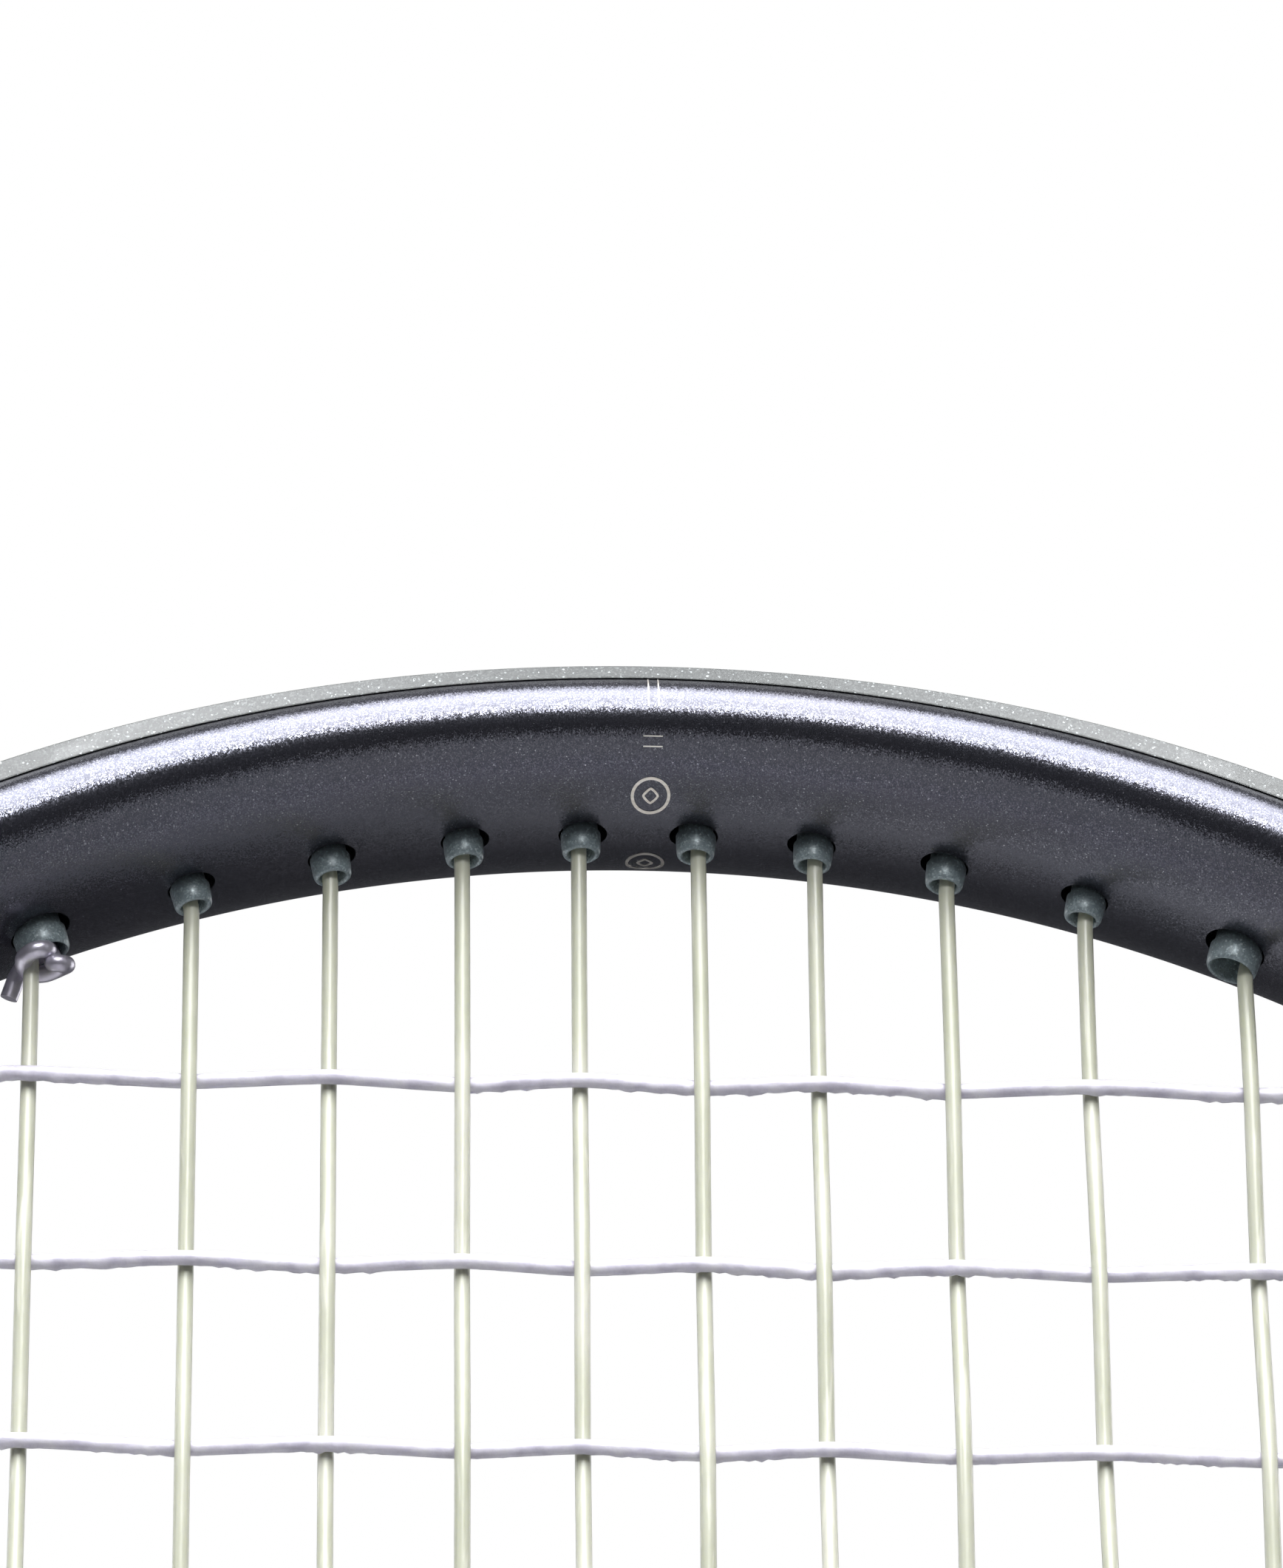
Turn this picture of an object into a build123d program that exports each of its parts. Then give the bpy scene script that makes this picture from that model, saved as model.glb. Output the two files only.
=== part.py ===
"""Strung tennis racket with a button dampener, in millimetres.

The butt end rests at z = 0 and the tip points along +Z.  X runs across the strings' face and -Y is its front.
Each physical piece is written to parts/NAME.step.
"""

import math
import os

from build123d import *

# Whole racket
LENGTH = 685.8
HALF_BEAM = 11.5  # half of the frame's depth, across the strings' plane
HALF_RIM = 5.4  # half of the frame's width, in the strings' plane
BUMPER_SKIN = 1.1
SEAM = 0.01  # gap between faces that touch
ROOM = 20.0  # size of a cutter that reaches past the tube's section

# Head and throat: tangent arcs of the hairpin tube's centreline, from the tip down, as (radius, degrees)
TIP_ARC = (128.5, 30.0)
UPPER_SHOULDER_ARC = (99.5, 33.0)
UPPER_SIDE_ARC = (213.2, 27.0)
LOWER_SIDE_ARC = (264.4, 24.0)
LOWER_SHOULDER_ARC = (107.7, 10.0)
ARM_RUN = 95.3
ARM_BACK_ARC = (-210.0, 34.0)
LEG_RUN = 198.0
BRIDGE_END_ARC = (107.7, 26.0)
BRIDGE_MIDDLE_ARC = (118.0, 60.0)
BRIDGE_DEPARTURE = 8.0  # degrees of the bridge's end arcs that are inside the hairpin

# Hairpin tube
HEAD_CAVITY = (2.55, 9.6, -1.15)  # half width, half depth, shift towards the head's middle
ARM_CAVITY = (3.8, 9.9, 0.0)
GROOVE_WIDTH = 5.5
GROOVE_FLOOR = 2.8  # above the tube's centreline
GROOVE_PAST_STRIP = 2.0
CAVITY_PAST_STRIP = 6.0
HOLE_RADIUS = 2.0
TIE_HOLE_RADIUS = 2.6
HOLE_START = 2.0  # how far a hole's cutter starts inside its barrel's mouth
HOLE_RUN_OUT = 6.0

# Throat bridge
BRIDGE_HALF_RIM = 6.5
BRIDGE_HALF_BEAM = 10.5
BRIDGE_SHIFT = BRIDGE_HALF_RIM - HALF_RIM
BRIDGE_GROOVE_FLOOR = 5.0
BRIDGE_GROOVE_PAST = 4.0  # the groove's length past the last barrel in the bridge
BRIDGE_STRIP_PAST = 3.0

# Grommets and bumper guard
STRIP_WIDTH = 5.3
STRIP_THICKNESS = 0.9
STRIP_END_GAP = 0.5
TROUGH_WALL = 0.6
BARREL_RADIUS = 1.7
BARREL_BORE = 1.36
TIE_BARREL_RADIUS = 2.3
TIE_BARREL_BORE = 1.9
BARREL_REACH = 2.25  # how far a barrel stands out of the frame's inner face
WING_LEVEL = 3.2  # the guard's wings end this far above the tube's centreline
BUMPER_END = 60.0  # degrees from the tip
SIDE_STRIP_END = 52.0  # length of the side strip past the bridge's departure
BARREL_LEAN = 0.75  # share of the frame's own slope that a main's barrel follows
CROSS_LEAN = 0.12  # how far a cross's barrel leans from the frame's normal to the string's line

# Strings
MAIN_RADIUS = 0.65
CROSS_RADIUS = 0.625
MAIN_LANE = -0.66  # the mains' plane, and their side of each groove
CROSS_LANE = 0.66
OUTER_LANE = 1.99
MAIN_X = (4.88, 14.39, 25.11, 36.35, 49.22, 62.9, 76.9, 91.7)
FIRST_CROSS = 23.6  # below the head's inner face
CROSS_GAPS = (16.65, 16.4, 15.8, 15.2, 14.7, 14.3, 14.0, 13.8, 13.7,
              13.7, 13.8, 14.0, 14.2, 14.5, 14.8, 15.1, 15.3, 15.3)
BEND_OUTSIDE = 1.6  # radius of a string's bend from a barrel into the groove
BEND_MOUTH = 3.0
SHARP_TURN = 40.0
BEND_SHARE = 0.45  # of the shorter run next to a bend, the most that the bend may take
STRING_LIFT = 0.05  # gap between a string and the strip that it lies on
BYPASS = 3.0  # half of the run on which the cross string passes a tie barrel
GROOVE_STEP = 14.0

# Knots
KNOT_RADIUS = 2.2
KNOT_LENGTH = 3.0
KNOT_DROP = 1.0  # gap between a barrel's mouth and the knot
KNOT_PLAY = 0.02
KNOT_CHAMFER = 0.6

# Handle: octagons as (width across X, width across Y, bevel)
PALLET = (29.4, 25.6, 7.6)
PALLET_UNDER_CAP = (27.2, 23.8, 7.0)
PALLET_BOTTOM = 4.0
PALLET_TOP = 184.0
PALLET_STEP_GAP = 0.2
BEVEL_GROWTH = 2 * math.tan(math.radians(22.5))  # wider bevel for each millimetre that an octagon grows
CAP_RIM = (37.0, 33.0, 9.6)
CAP_SKIRT = (29.4, 25.6, 7.6)
CAP_RIM_HEIGHT = 4.0
CAP_FLARE_HEIGHT = 12.0
CAP_HEIGHT = 40.0
CAP_FLOOR = 3.0
CAP_PLAY = 0.02
DOOR = (17.0, 11.0, 3.0)  # width, height, corner radius
DOOR_PLAY = 0.3
DOOR_LIP = 1.2
DOOR_PLUG_HEIGHT = 2.8
DOOR_NOTCH = 1.6
DOOR_TRAVEL_GAP = 0.2
GRIP_THICKNESS = 1.7
GRIP_BOTTOM = 13.0
GRIP_TOP = 182.0
TAPE_THICKNESS = 0.3
TAPE_HEIGHT = 12.0
COLLAR_BOTTOM = 172.0
COLLAR_TOP = 193.0
COLLAR_WALL = 1.3
COLLAR_PLAY = 0.35
COLLAR_CONE = 4.0
COLLAR_LIP_GROW = 0.6
COLLAR_HEADROOM = 0.5
SHAFT_CORNER = 5.0
LIP_PLAY = 0.6

# Fasteners
STAPLE_WIRE = 0.5
STAPLE_WIDTH = 9.0
STAPLE_PLAY = 0.5
GRIP_STAPLE_Z = 18.5

# Dampener
DAMPENER_RADIUS = 9.0
DAMPENER_DEPTH = 9.0
DAMPENER_LIP = 1.4
DAMPENER_SLOT = 1.9
DAMPENER_STRING_GAP = 0.1
DISC_RADIUS = 6.2
DISC_DEPTH = 1.2
DISC_PLAY = 0.02
DISC_CHAMFER = 0.3
DAMPENER_GAP = 0.4

HALF_HEAD = LENGTH - BUMPER_SKIN - HALF_RIM


class Path:
    """A plane path of tangent arcs and lines; its turn is the angle of its outward normal from +Z."""

    def __init__(self, x, z, turn, pieces):
        self.pieces = []
        station = 0.0
        for radius, size in pieces:
            piece = {"x": x, "z": z, "turn": turn, "radius": radius, "s": station}
            piece["length"] = size if radius is None else math.radians(size) * abs(radius)
            self.pieces.append(piece)
            x, z, turn = self.advance(piece, piece["length"])
            station += piece["length"]
        self.length = station

    def advance(self, piece, run):
        turn = math.radians(piece["turn"])
        if piece["radius"] is None:
            return piece["x"] + run * math.cos(turn), piece["z"] - run * math.sin(turn), piece["turn"]
        radius = piece["radius"]
        end = turn + run / radius
        x = piece["x"] + radius * (math.sin(end) - math.sin(turn))
        z = piece["z"] + radius * (math.cos(end) - math.cos(turn))
        return x, z, math.degrees(end)

    def piece_at(self, station):
        for piece in self.pieces:
            if station <= piece["s"] + piece["length"]:
                return piece
        return self.pieces[-1]

    def at(self, station, out=0.0):
        """The point at a station, moved outwards along the normal."""
        piece = self.piece_at(station)
        x, z, turn = self.advance(piece, station - piece["s"])
        angle = math.radians(turn)
        return x + out * math.sin(angle), z + out * math.cos(angle), turn

    def locate(self, x, z):
        """Station and height above the path of a point."""
        best = None
        for piece in self.pieces:
            turn = math.radians(piece["turn"])
            if piece["radius"] is None:
                dx, dz = x - piece["x"], z - piece["z"]
                run = dx * math.cos(turn) - dz * math.sin(turn)
                out = dx * math.sin(turn) + dz * math.cos(turn)
            else:
                radius = piece["radius"]
                cx = piece["x"] - radius * math.sin(turn)
                cz = piece["z"] - radius * math.cos(turn)
                side = math.copysign(1.0, radius)
                angle = math.atan2(side * (x - cx), side * (z - cz))
                run = ((angle - turn + math.pi) % (2 * math.pi) - math.pi) * radius
                out = side * math.hypot(x - cx, z - cz) - radius
            if -0.01 <= run <= piece["length"] + 0.01 and (best is None or abs(out) < abs(best[1])):
                best = (piece["s"] + run, out)
        return best

    def station_of_turn(self, turn):
        for piece in self.pieces:
            x, z, end = self.advance(piece, piece["length"])
            low, high = sorted((piece["turn"], end))
            if piece["radius"] is not None and low <= turn <= high:
                return piece["s"] + math.radians(abs(turn - piece["turn"])) * abs(piece["radius"])
        raise ValueError(turn)


def sweep_along(path, section, start, end):
    """Carry a section, drawn as (outwards, front), along a path between two stations."""
    solids = []
    for piece in path.pieces:
        low = max(start, piece["s"])
        high = min(end, piece["s"] + piece["length"])
        if high - low < 1e-6:
            continue
        x, z, turn = path.advance(piece, low - piece["s"])
        angle = math.radians(turn)
        normal = (math.sin(angle), 0, math.cos(angle))
        along = (math.cos(angle), 0, -math.sin(angle))
        face = Plane(origin=(x, 0, z), x_dir=normal, z_dir=along) * section
        if piece["radius"] is None:
            solids.append(extrude(face, amount=high - low, dir=along))
            continue
        radius = piece["radius"]
        centre = (x - radius * normal[0], 0, z - radius * normal[2])
        axis = Axis(centre, (0, math.copysign(1.0, radius), 0))
        solids.append(revolve(face, axis, math.degrees((high - low) / abs(radius))))
    return solids


def joined(solids):
    whole = solids[0]
    for solid in solids[1:]:
        whole = whole + solid
    return whole


def flipped(solids):
    return [mirror(solid, about=Plane.YZ) for solid in solids]


HAIRPIN = Path(0, HALF_HEAD, 0, [
    TIP_ARC, UPPER_SHOULDER_ARC, UPPER_SIDE_ARC, LOWER_SIDE_ARC, LOWER_SHOULDER_ARC,
    (None, ARM_RUN), ARM_BACK_ARC, (None, LEG_RUN),
])
DEPARTURE_STATION = HAIRPIN.pieces[5]["s"]
DEPARTURE = HAIRPIN.at(DEPARTURE_STATION)
BRIDGE = Path(DEPARTURE[0], DEPARTURE[1], DEPARTURE[2], [BRIDGE_END_ARC, BRIDGE_MIDDLE_ARC, BRIDGE_END_ARC])
HEAD_HALF = Path(0, HALF_HEAD, 0, [
    TIP_ARC, UPPER_SHOULDER_ARC, UPPER_SIDE_ARC, LOWER_SIDE_ARC, LOWER_SHOULDER_ARC,
    BRIDGE_END_ARC, (BRIDGE_MIDDLE_ARC[0], BRIDGE_MIDDLE_ARC[1] / 2),
])
BUMPER_STATION = HAIRPIN.station_of_turn(BUMPER_END)

CROSS_Z = [HALF_HEAD - HALF_RIM - FIRST_CROSS]
for gap in CROSS_GAPS:
    CROSS_Z.append(CROSS_Z[-1] - gap)


def string_height(floor):
    """Height of a string's middle in a groove with this floor."""
    return floor + STRIP_THICKNESS + MAIN_RADIUS + STRING_LIFT


class Barrel:
    """One string hole on the right half: its mouth, its axis and where it meets the outer groove."""

    def __init__(self, station, slope, path, floor, tie=False):
        x, z, turn = HEAD_HALF.at(station)
        angle = math.radians(slope)
        self.direction = (math.sin(angle), math.cos(angle))
        self.path = path
        self.floor = floor
        self.tie = tie
        normal = math.radians(turn)
        lean = math.cos(angle - normal)
        reach = (HALF_RIM + BARREL_REACH) / lean
        self.mouth = (x - reach * self.direction[0], z - reach * self.direction[1])
        self.inner_face = (x - HALF_RIM / lean * self.direction[0], z - HALF_RIM / lean * self.direction[1])
        self.top = self.march(floor + STRIP_THICKNESS * 0.5)
        self.outlet = self.march(string_height(floor))
        self.station = path.locate(*self.outlet)[0]

    def march(self, height):
        """The axis point at a height above the outer path's centreline."""
        low, high = 0.0, 40.0
        for _ in range(50):
            middle = (low + high) / 2
            found = self.path.locate(*self.along(middle))
            if found is not None and found[1] > height:
                high = middle
            else:
                low = middle
        return self.along(low)

    def along(self, distance):
        return self.mouth[0] + distance * self.direction[0], self.mouth[1] + distance * self.direction[1]


def solve(function, low, high):
    """The station where an increasing function crosses zero."""
    for _ in range(60):
        middle = (low + high) / 2
        if function(middle) > 0:
            high = middle
        else:
            low = middle
    return (low + high) / 2


def main_barrel(number, at_tip):
    """Barrel of one main, whose mouth is on the string's own line."""
    half = HEAD_HALF.station_of_turn(90)

    def slope(turn):
        return BARREL_LEAN * turn if at_tip else 180 - BARREL_LEAN * (180 - turn)

    def miss(station):
        x, z, turn = HEAD_HALF.at(station)
        mouth_x = x - (HALF_RIM + BARREL_REACH) * math.sin(math.radians(slope(turn)))
        return mouth_x - MAIN_X[number]

    if at_tip:
        station = solve(miss, 0, half)
    else:
        station = solve(lambda s: -miss(s), half, HEAD_HALF.length)
    turn = HEAD_HALF.at(station)[2]
    in_bridge = not at_tip and number <= 4
    tie = (at_tip and number == 4) or (not at_tip and number in (5, 6))
    path = BRIDGE if in_bridge else HAIRPIN
    floor = BRIDGE_GROOVE_FLOOR if in_bridge else GROOVE_FLOOR
    return Barrel(station, slope(turn), path, floor, tie)


def cross_barrel(height):
    """Barrel of one cross, whose mouth is at the string's own height."""

    def slope(turn):
        return turn + CROSS_LEAN * (90 - turn)

    def miss(station):
        x, z, turn = HEAD_HALF.at(station)
        return height - (z - (HALF_RIM + BARREL_REACH) * math.cos(math.radians(slope(turn))))

    station = solve(miss, 0, HEAD_HALF.length)
    return Barrel(station, slope(HEAD_HALF.at(station)[2]), HAIRPIN, GROOVE_FLOOR)


TIP_BARRELS = [main_barrel(number, True) for number in range(len(MAIN_X))]
THROAT_BARRELS = [main_barrel(number, False) for number in range(len(MAIN_X))]
SIDE_BARRELS = [cross_barrel(height) for height in CROSS_Z]
EVERY_BARREL = TIP_BARRELS + THROAT_BARRELS + SIDE_BARRELS


def rod(start, end, radius):
    """A cylinder between two points of the strings' plane."""
    dx, dz = end[0] - start[0], end[1] - start[1]
    plane = Plane(origin=(start[0], 0, start[1]), z_dir=(dx, 0, dz))
    return extrude(plane * Circle(radius), amount=math.hypot(dx, dz))


def string_hole(barrel):
    """The hole drilled for a barrel, from inside the head to outside the frame."""
    radius = TIE_HOLE_RADIUS if barrel.tie else HOLE_RADIUS
    reach = math.hypot(barrel.outlet[0] - barrel.mouth[0], barrel.outlet[1] - barrel.mouth[1])
    return rod(barrel.along(-HOLE_START), barrel.along(reach + HOLE_RUN_OUT), radius)


def both_sides(solids):
    return solids + flipped(solids)


def tube_section(half_rim, half_beam, shift=0.0):
    return Pos(shift, 0) * Ellipse(half_rim, half_beam)


def outer_section(level, width):
    """Everything above a level, within a width: a groove's cutter, or the part of a section to keep."""
    return Pos(level + ROOM / 2, 0) * Rectangle(ROOM, width)


def hairpin_envelope():
    half = sweep_along(HAIRPIN, tube_section(HALF_RIM, HALF_BEAM), 0, HAIRPIN.length)
    right = joined(half)
    return right + mirror(right, about=Plane.YZ)


def frame_hairpin(envelope):
    strip_end = DEPARTURE_STATION + SIDE_STRIP_END
    head = sweep_along(HAIRPIN, tube_section(*HEAD_CAVITY), 0, strip_end + CAVITY_PAST_STRIP)
    arms = sweep_along(HAIRPIN, tube_section(*ARM_CAVITY), strip_end + CAVITY_PAST_STRIP, HAIRPIN.length)
    groove = sweep_along(HAIRPIN, outer_section(GROOVE_FLOOR, GROOVE_WIDTH), 0, strip_end + GROOVE_PAST_STRIP)
    holes = [string_hole(barrel) for barrel in EVERY_BARREL if barrel.path is HAIRPIN]
    tools = both_sides([joined(head + arms)]) + both_sides([joined(groove)]) + both_sides(holes)
    return envelope - tools


def throat_bridge(envelope):
    start = math.radians(BRIDGE_DEPARTURE) * BRIDGE_END_ARC[0]
    section = tube_section(BRIDGE_HALF_RIM, BRIDGE_HALF_BEAM, BRIDGE_SHIFT)
    beam = joined(sweep_along(BRIDGE, section, start, BRIDGE.length - start))
    middle = BRIDGE.length / 2
    reach = abs(THROAT_BARRELS[4].station - middle) + BRIDGE_GROOVE_PAST
    groove = sweep_along(
        BRIDGE, outer_section(BRIDGE_GROOVE_FLOOR, GROOVE_WIDTH), middle - reach, middle + reach)
    holes = [string_hole(barrel) for barrel in THROAT_BARRELS[:7] + SIDE_BARRELS[-2:]]
    beam = beam - envelope - groove - both_sides(holes)
    return max(beam.solids(), key=lambda solid: solid.volume)


def tubes_and_bores(barrels):
    """The barrels of a grommet strip, solid, and the bores to open through them."""
    tubes = []
    bores = []
    for barrel in barrels:
        radius = TIE_BARREL_RADIUS if barrel.tie else BARREL_RADIUS
        bore = TIE_BARREL_BORE if barrel.tie else BARREL_BORE
        tubes.append(rod(barrel.mouth, barrel.top, radius))
        length = math.hypot(barrel.top[0] - barrel.mouth[0], barrel.top[1] - barrel.mouth[1])
        bores.append(rod(barrel.along(-HOLE_START), barrel.along(length + HOLE_START), bore))
    return tubes, bores


def strip_section(floor):
    return Pos(floor + STRIP_THICKNESS / 2, 0) * Rectangle(STRIP_THICKNESS, STRIP_WIDTH)


def bumper_guard():
    outside = Ellipse(HALF_RIM + BUMPER_SKIN, HALF_BEAM + BUMPER_SKIN)
    wing = outside - Ellipse(HALF_RIM + SEAM, HALF_BEAM + SEAM)
    wing = wing & outer_section(WING_LEVEL, 2 * ROOM)
    lip = outer_section(GROOVE_FLOOR, STRIP_WIDTH) & outside
    trough = outer_section(GROOVE_FLOOR + STRIP_THICKNESS, STRIP_WIDTH - 2 * TROUGH_WALL)
    section = (wing + lip) - trough
    half = sweep_along(HAIRPIN, section, 0, BUMPER_STATION)
    guard = joined(half)
    guard = guard + mirror(guard, about=Plane.YZ)
    tubes, bores = tubes_and_bores(TIP_BARRELS + SIDE_BARRELS[:2])
    return guard + both_sides(tubes) - both_sides(bores)


def side_grommets():
    start = BUMPER_STATION + STRIP_END_GAP
    end = DEPARTURE_STATION + SIDE_STRIP_END
    strip = joined(sweep_along(HAIRPIN, strip_section(GROOVE_FLOOR), start, end))
    tubes, bores = tubes_and_bores(SIDE_BARRELS[2:] + THROAT_BARRELS[5:])
    return strip + tubes - bores


def throat_grommets():
    middle = BRIDGE.length / 2
    reach = abs(THROAT_BARRELS[4].station - middle) + BRIDGE_STRIP_PAST
    strip = joined(sweep_along(BRIDGE, strip_section(BRIDGE_GROOVE_FLOOR), middle - reach, middle + reach))
    tubes, bores = tubes_and_bores(THROAT_BARRELS[:5])
    return strip + both_sides(tubes) - both_sides(bores)


def placed(point, side, lane):
    return Vector(side * point[0], lane, point[1])


def groove_run(start, end, side, lane):
    """Points along the outer groove between two barrels, where it curves."""
    path = start.path
    height = string_height(start.floor)
    first, last = start.station, end.station
    if path is BRIDGE:
        first, last = path.length - first, path.length - last
    count = math.ceil(abs(last - first) / GROOVE_STEP)
    points = []
    for index in range(1, count):
        station = first + (last - first) * index / count
        if path.piece_at(station)["radius"] is not None:
            x, z, turn = path.at(station, height)
            points.append(Vector(side * abs(x), lane, z))
    return points


def run_ends(barrel, side, lane):
    """A string's two corner points in a barrel, from the groove inwards."""
    return [placed(barrel.outlet, side, lane), placed(barrel.mouth, side, lane)]


def string_tube(points, radius):
    """A tube of straight runs joined by tangent arcs, as large as the runs allow."""
    radii = []
    for before, here, after in zip(points, points[1:], points[2:]):
        turn = (here - before).get_angle(after - here)
        shorter = min((here - before).length, (after - here).length)
        wanted = BEND_OUTSIDE if turn > SHARP_TURN else BEND_MOUTH
        radii.append(min(wanted, BEND_SHARE * shorter / math.tan(math.radians(turn) / 2)))
    path = FilletPolyline(*points, radius=radii)
    start = Plane(origin=path @ 0, z_dir=path % 0)
    tube = sweep(start * Circle(radius), path=path)
    expected = math.pi * radius**2 * path.length
    print(f"string of {path.length:.0f} mm, smallest bend {min(radii):.2f}, volume ratio {tube.volume / expected:.4f}")
    return tube


def main_route():
    """From the left end knot, through all sixteen mains, to the right end knot."""
    half = []
    count = len(MAIN_X)
    for number in range(count):
        down = number % 2 == 0
        first, last = (THROAT_BARRELS, TIP_BARRELS) if down else (TIP_BARRELS, THROAT_BARRELS)
        half += run_ends(first[number], 1, MAIN_LANE)
        half += reversed(run_ends(last[number], 1, MAIN_LANE))
        if number + 1 < count:
            half += groove_run(last[number], last[number + 1], 1, MAIN_LANE)
    tail, tie = THROAT_BARRELS[-1], THROAT_BARRELS[-2]
    beside = SIDE_BARRELS[-2].outlet
    half.append(placed(beside, 1, MAIN_LANE))
    half += run_ends(tie, 1, CROSS_LANE)
    half.append(half[-1] + Vector(0, 0, KNOT_DROP + KNOT_LENGTH))
    other = [Vector(-point.X, point.Y, point.Z) for point in reversed(half)]
    return other + half


def cross_route():
    """From the start knot at the tip, through all crosses, to the end knot at the throat."""
    tie = TIP_BARRELS[4]
    points = [placed(tie.mouth, -1, CROSS_LANE) - Vector(0, 0, KNOT_DROP + KNOT_LENGTH)]
    points += reversed(run_ends(tie, -1, CROSS_LANE))
    points += groove_run(tie, SIDE_BARRELS[0], -1, CROSS_LANE)
    for number, barrel in enumerate(SIDE_BARRELS):
        side = -1 if number % 2 == 0 else 1
        points += run_ends(barrel, side, CROSS_LANE)
        points += reversed(run_ends(barrel, -side, CROSS_LANE))
        if number + 1 == len(SIDE_BARRELS):
            break
        if number + 2 == len(SIDE_BARRELS):
            station = THROAT_BARRELS[-2].station
            for shift in (-BYPASS, BYPASS):
                x, z, turn = HAIRPIN.at(station + shift, string_height(GROOVE_FLOOR))
                points.append(Vector(-side * x, OUTER_LANE, z))
        else:
            points += groove_run(barrel, SIDE_BARRELS[number + 1], -side, CROSS_LANE)
    end = THROAT_BARRELS[5]
    points += run_ends(end, 1, CROSS_LANE)
    points.append(points[-1] + Vector(0, 0, KNOT_DROP + KNOT_LENGTH))
    return points


def knot(barrel, side, upwards):
    """A knot round a main and the tail beside it, a little inside a barrel's mouth."""
    centre = barrel.mouth[1] + upwards * (KNOT_DROP + KNOT_LENGTH / 2)
    place = Pos(side * barrel.mouth[0], 0, centre)
    body = place * Cylinder(KNOT_RADIUS, KNOT_LENGTH)
    body = chamfer(body.edges().filter_by(GeomType.CIRCLE), KNOT_CHAMFER)
    for lane, radius in ((MAIN_LANE, MAIN_RADIUS), (CROSS_LANE, MAIN_RADIUS)):
        body = body - place * Pos(0, lane, 0) * Cylinder(radius + KNOT_PLAY, 2 * KNOT_LENGTH)
    return body


def octagon(size, grow=0.0):
    """The handle's eight-sided outline; grow moves every side outwards."""
    width, depth, bevel = size[0] + 2 * grow, size[1] + 2 * grow, size[2] + grow * BEVEL_GROWTH
    x, y = width / 2, depth / 2
    cut = bevel * math.sqrt(0.5)
    return Polygon(
        (x, -y + cut), (x, y - cut), (x - cut, y), (-x + cut, y),
        (-x, y - cut), (-x, -y + cut), (-x + cut, -y), (x - cut, -y), align=None)


def octagon_prism(size, low, high, grow=0.0):
    return extrude(Pos(0, 0, low) * octagon(size, grow), amount=high - low)


def pallets(envelope):
    step = CAP_HEIGHT + PALLET_STEP_GAP
    block = octagon_prism(PALLET, step, PALLET_TOP) + octagon_prism(PALLET_UNDER_CAP, PALLET_BOTTOM, step)
    block = block - envelope
    room = 3 * PALLET_TOP
    return [block & Pos(0, side * room / 2, 0) * Box(room, room, room) for side in (-1, 1)]


def butt_cap():
    lower = extrude(octagon(CAP_RIM), amount=CAP_RIM_HEIGHT)
    flare = loft([
        Pos(0, 0, CAP_RIM_HEIGHT) * octagon(CAP_RIM),
        Pos(0, 0, CAP_FLARE_HEIGHT) * octagon(CAP_SKIRT),
    ])
    skirt = octagon_prism(CAP_SKIRT, CAP_FLARE_HEIGHT, CAP_HEIGHT)
    pocket = octagon_prism(PALLET_UNDER_CAP, CAP_FLOOR, CAP_HEIGHT + 1, grow=CAP_PLAY)
    window = extrude(RectangleRounded(DOOR[0], DOOR[1], DOOR[2]), amount=CAP_FLOOR)
    ledge = extrude(
        RectangleRounded(DOOR[0] + 2 * DOOR_LIP, DOOR[1] + 2 * DOOR_LIP, DOOR[2] + DOOR_LIP), amount=DOOR_LIP)
    return lower + flare + skirt - pocket - window - ledge


def butt_trapdoor():
    play = 2 * DOOR_PLAY
    plate = extrude(
        RectangleRounded(DOOR[0] + 2 * DOOR_LIP - play, DOOR[1] + 2 * DOOR_LIP - play, DOOR[2] + DOOR_LIP / 2),
        amount=DOOR_LIP - DOOR_TRAVEL_GAP)
    plug = extrude(RectangleRounded(DOOR[0] - play, DOOR[1] - play, DOOR[2] - DOOR_PLAY), amount=DOOR_PLUG_HEIGHT)
    notch = Pos(0, -(DOOR[1] + DOOR_LIP) / 2, 0) * Cylinder(DOOR_NOTCH, 2 * DOOR_NOTCH)
    return plate + plug - notch


def base_grip():
    sleeve = octagon_prism(CAP_SKIRT, GRIP_BOTTOM, GRIP_TOP, grow=GRIP_THICKNESS)
    core = octagon_prism(CAP_SKIRT, GRIP_BOTTOM - 1, GRIP_TOP + 1, grow=SEAM)
    room = Box(STAPLE_WIDTH + 2 * STAPLE_PLAY, 2 * CAP_RIM[1], 2 * (STAPLE_WIRE + STAPLE_PLAY))
    pockets = Pos(0, 0, GRIP_STAPLE_Z) * room
    pockets = pockets & octagon_prism(CAP_SKIRT, GRIP_BOTTOM, GRIP_TOP, grow=SEAM + 2 * STAPLE_WIRE)
    return sleeve - core - pockets


def finishing_tape():
    bottom = GRIP_TOP - TAPE_HEIGHT
    band = octagon_prism(CAP_SKIRT, bottom, GRIP_TOP, grow=GRIP_THICKNESS + TAPE_THICKNESS)
    return band - octagon_prism(CAP_SKIRT, bottom - 1, GRIP_TOP + 1, grow=GRIP_THICKNESS + SEAM)


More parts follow.
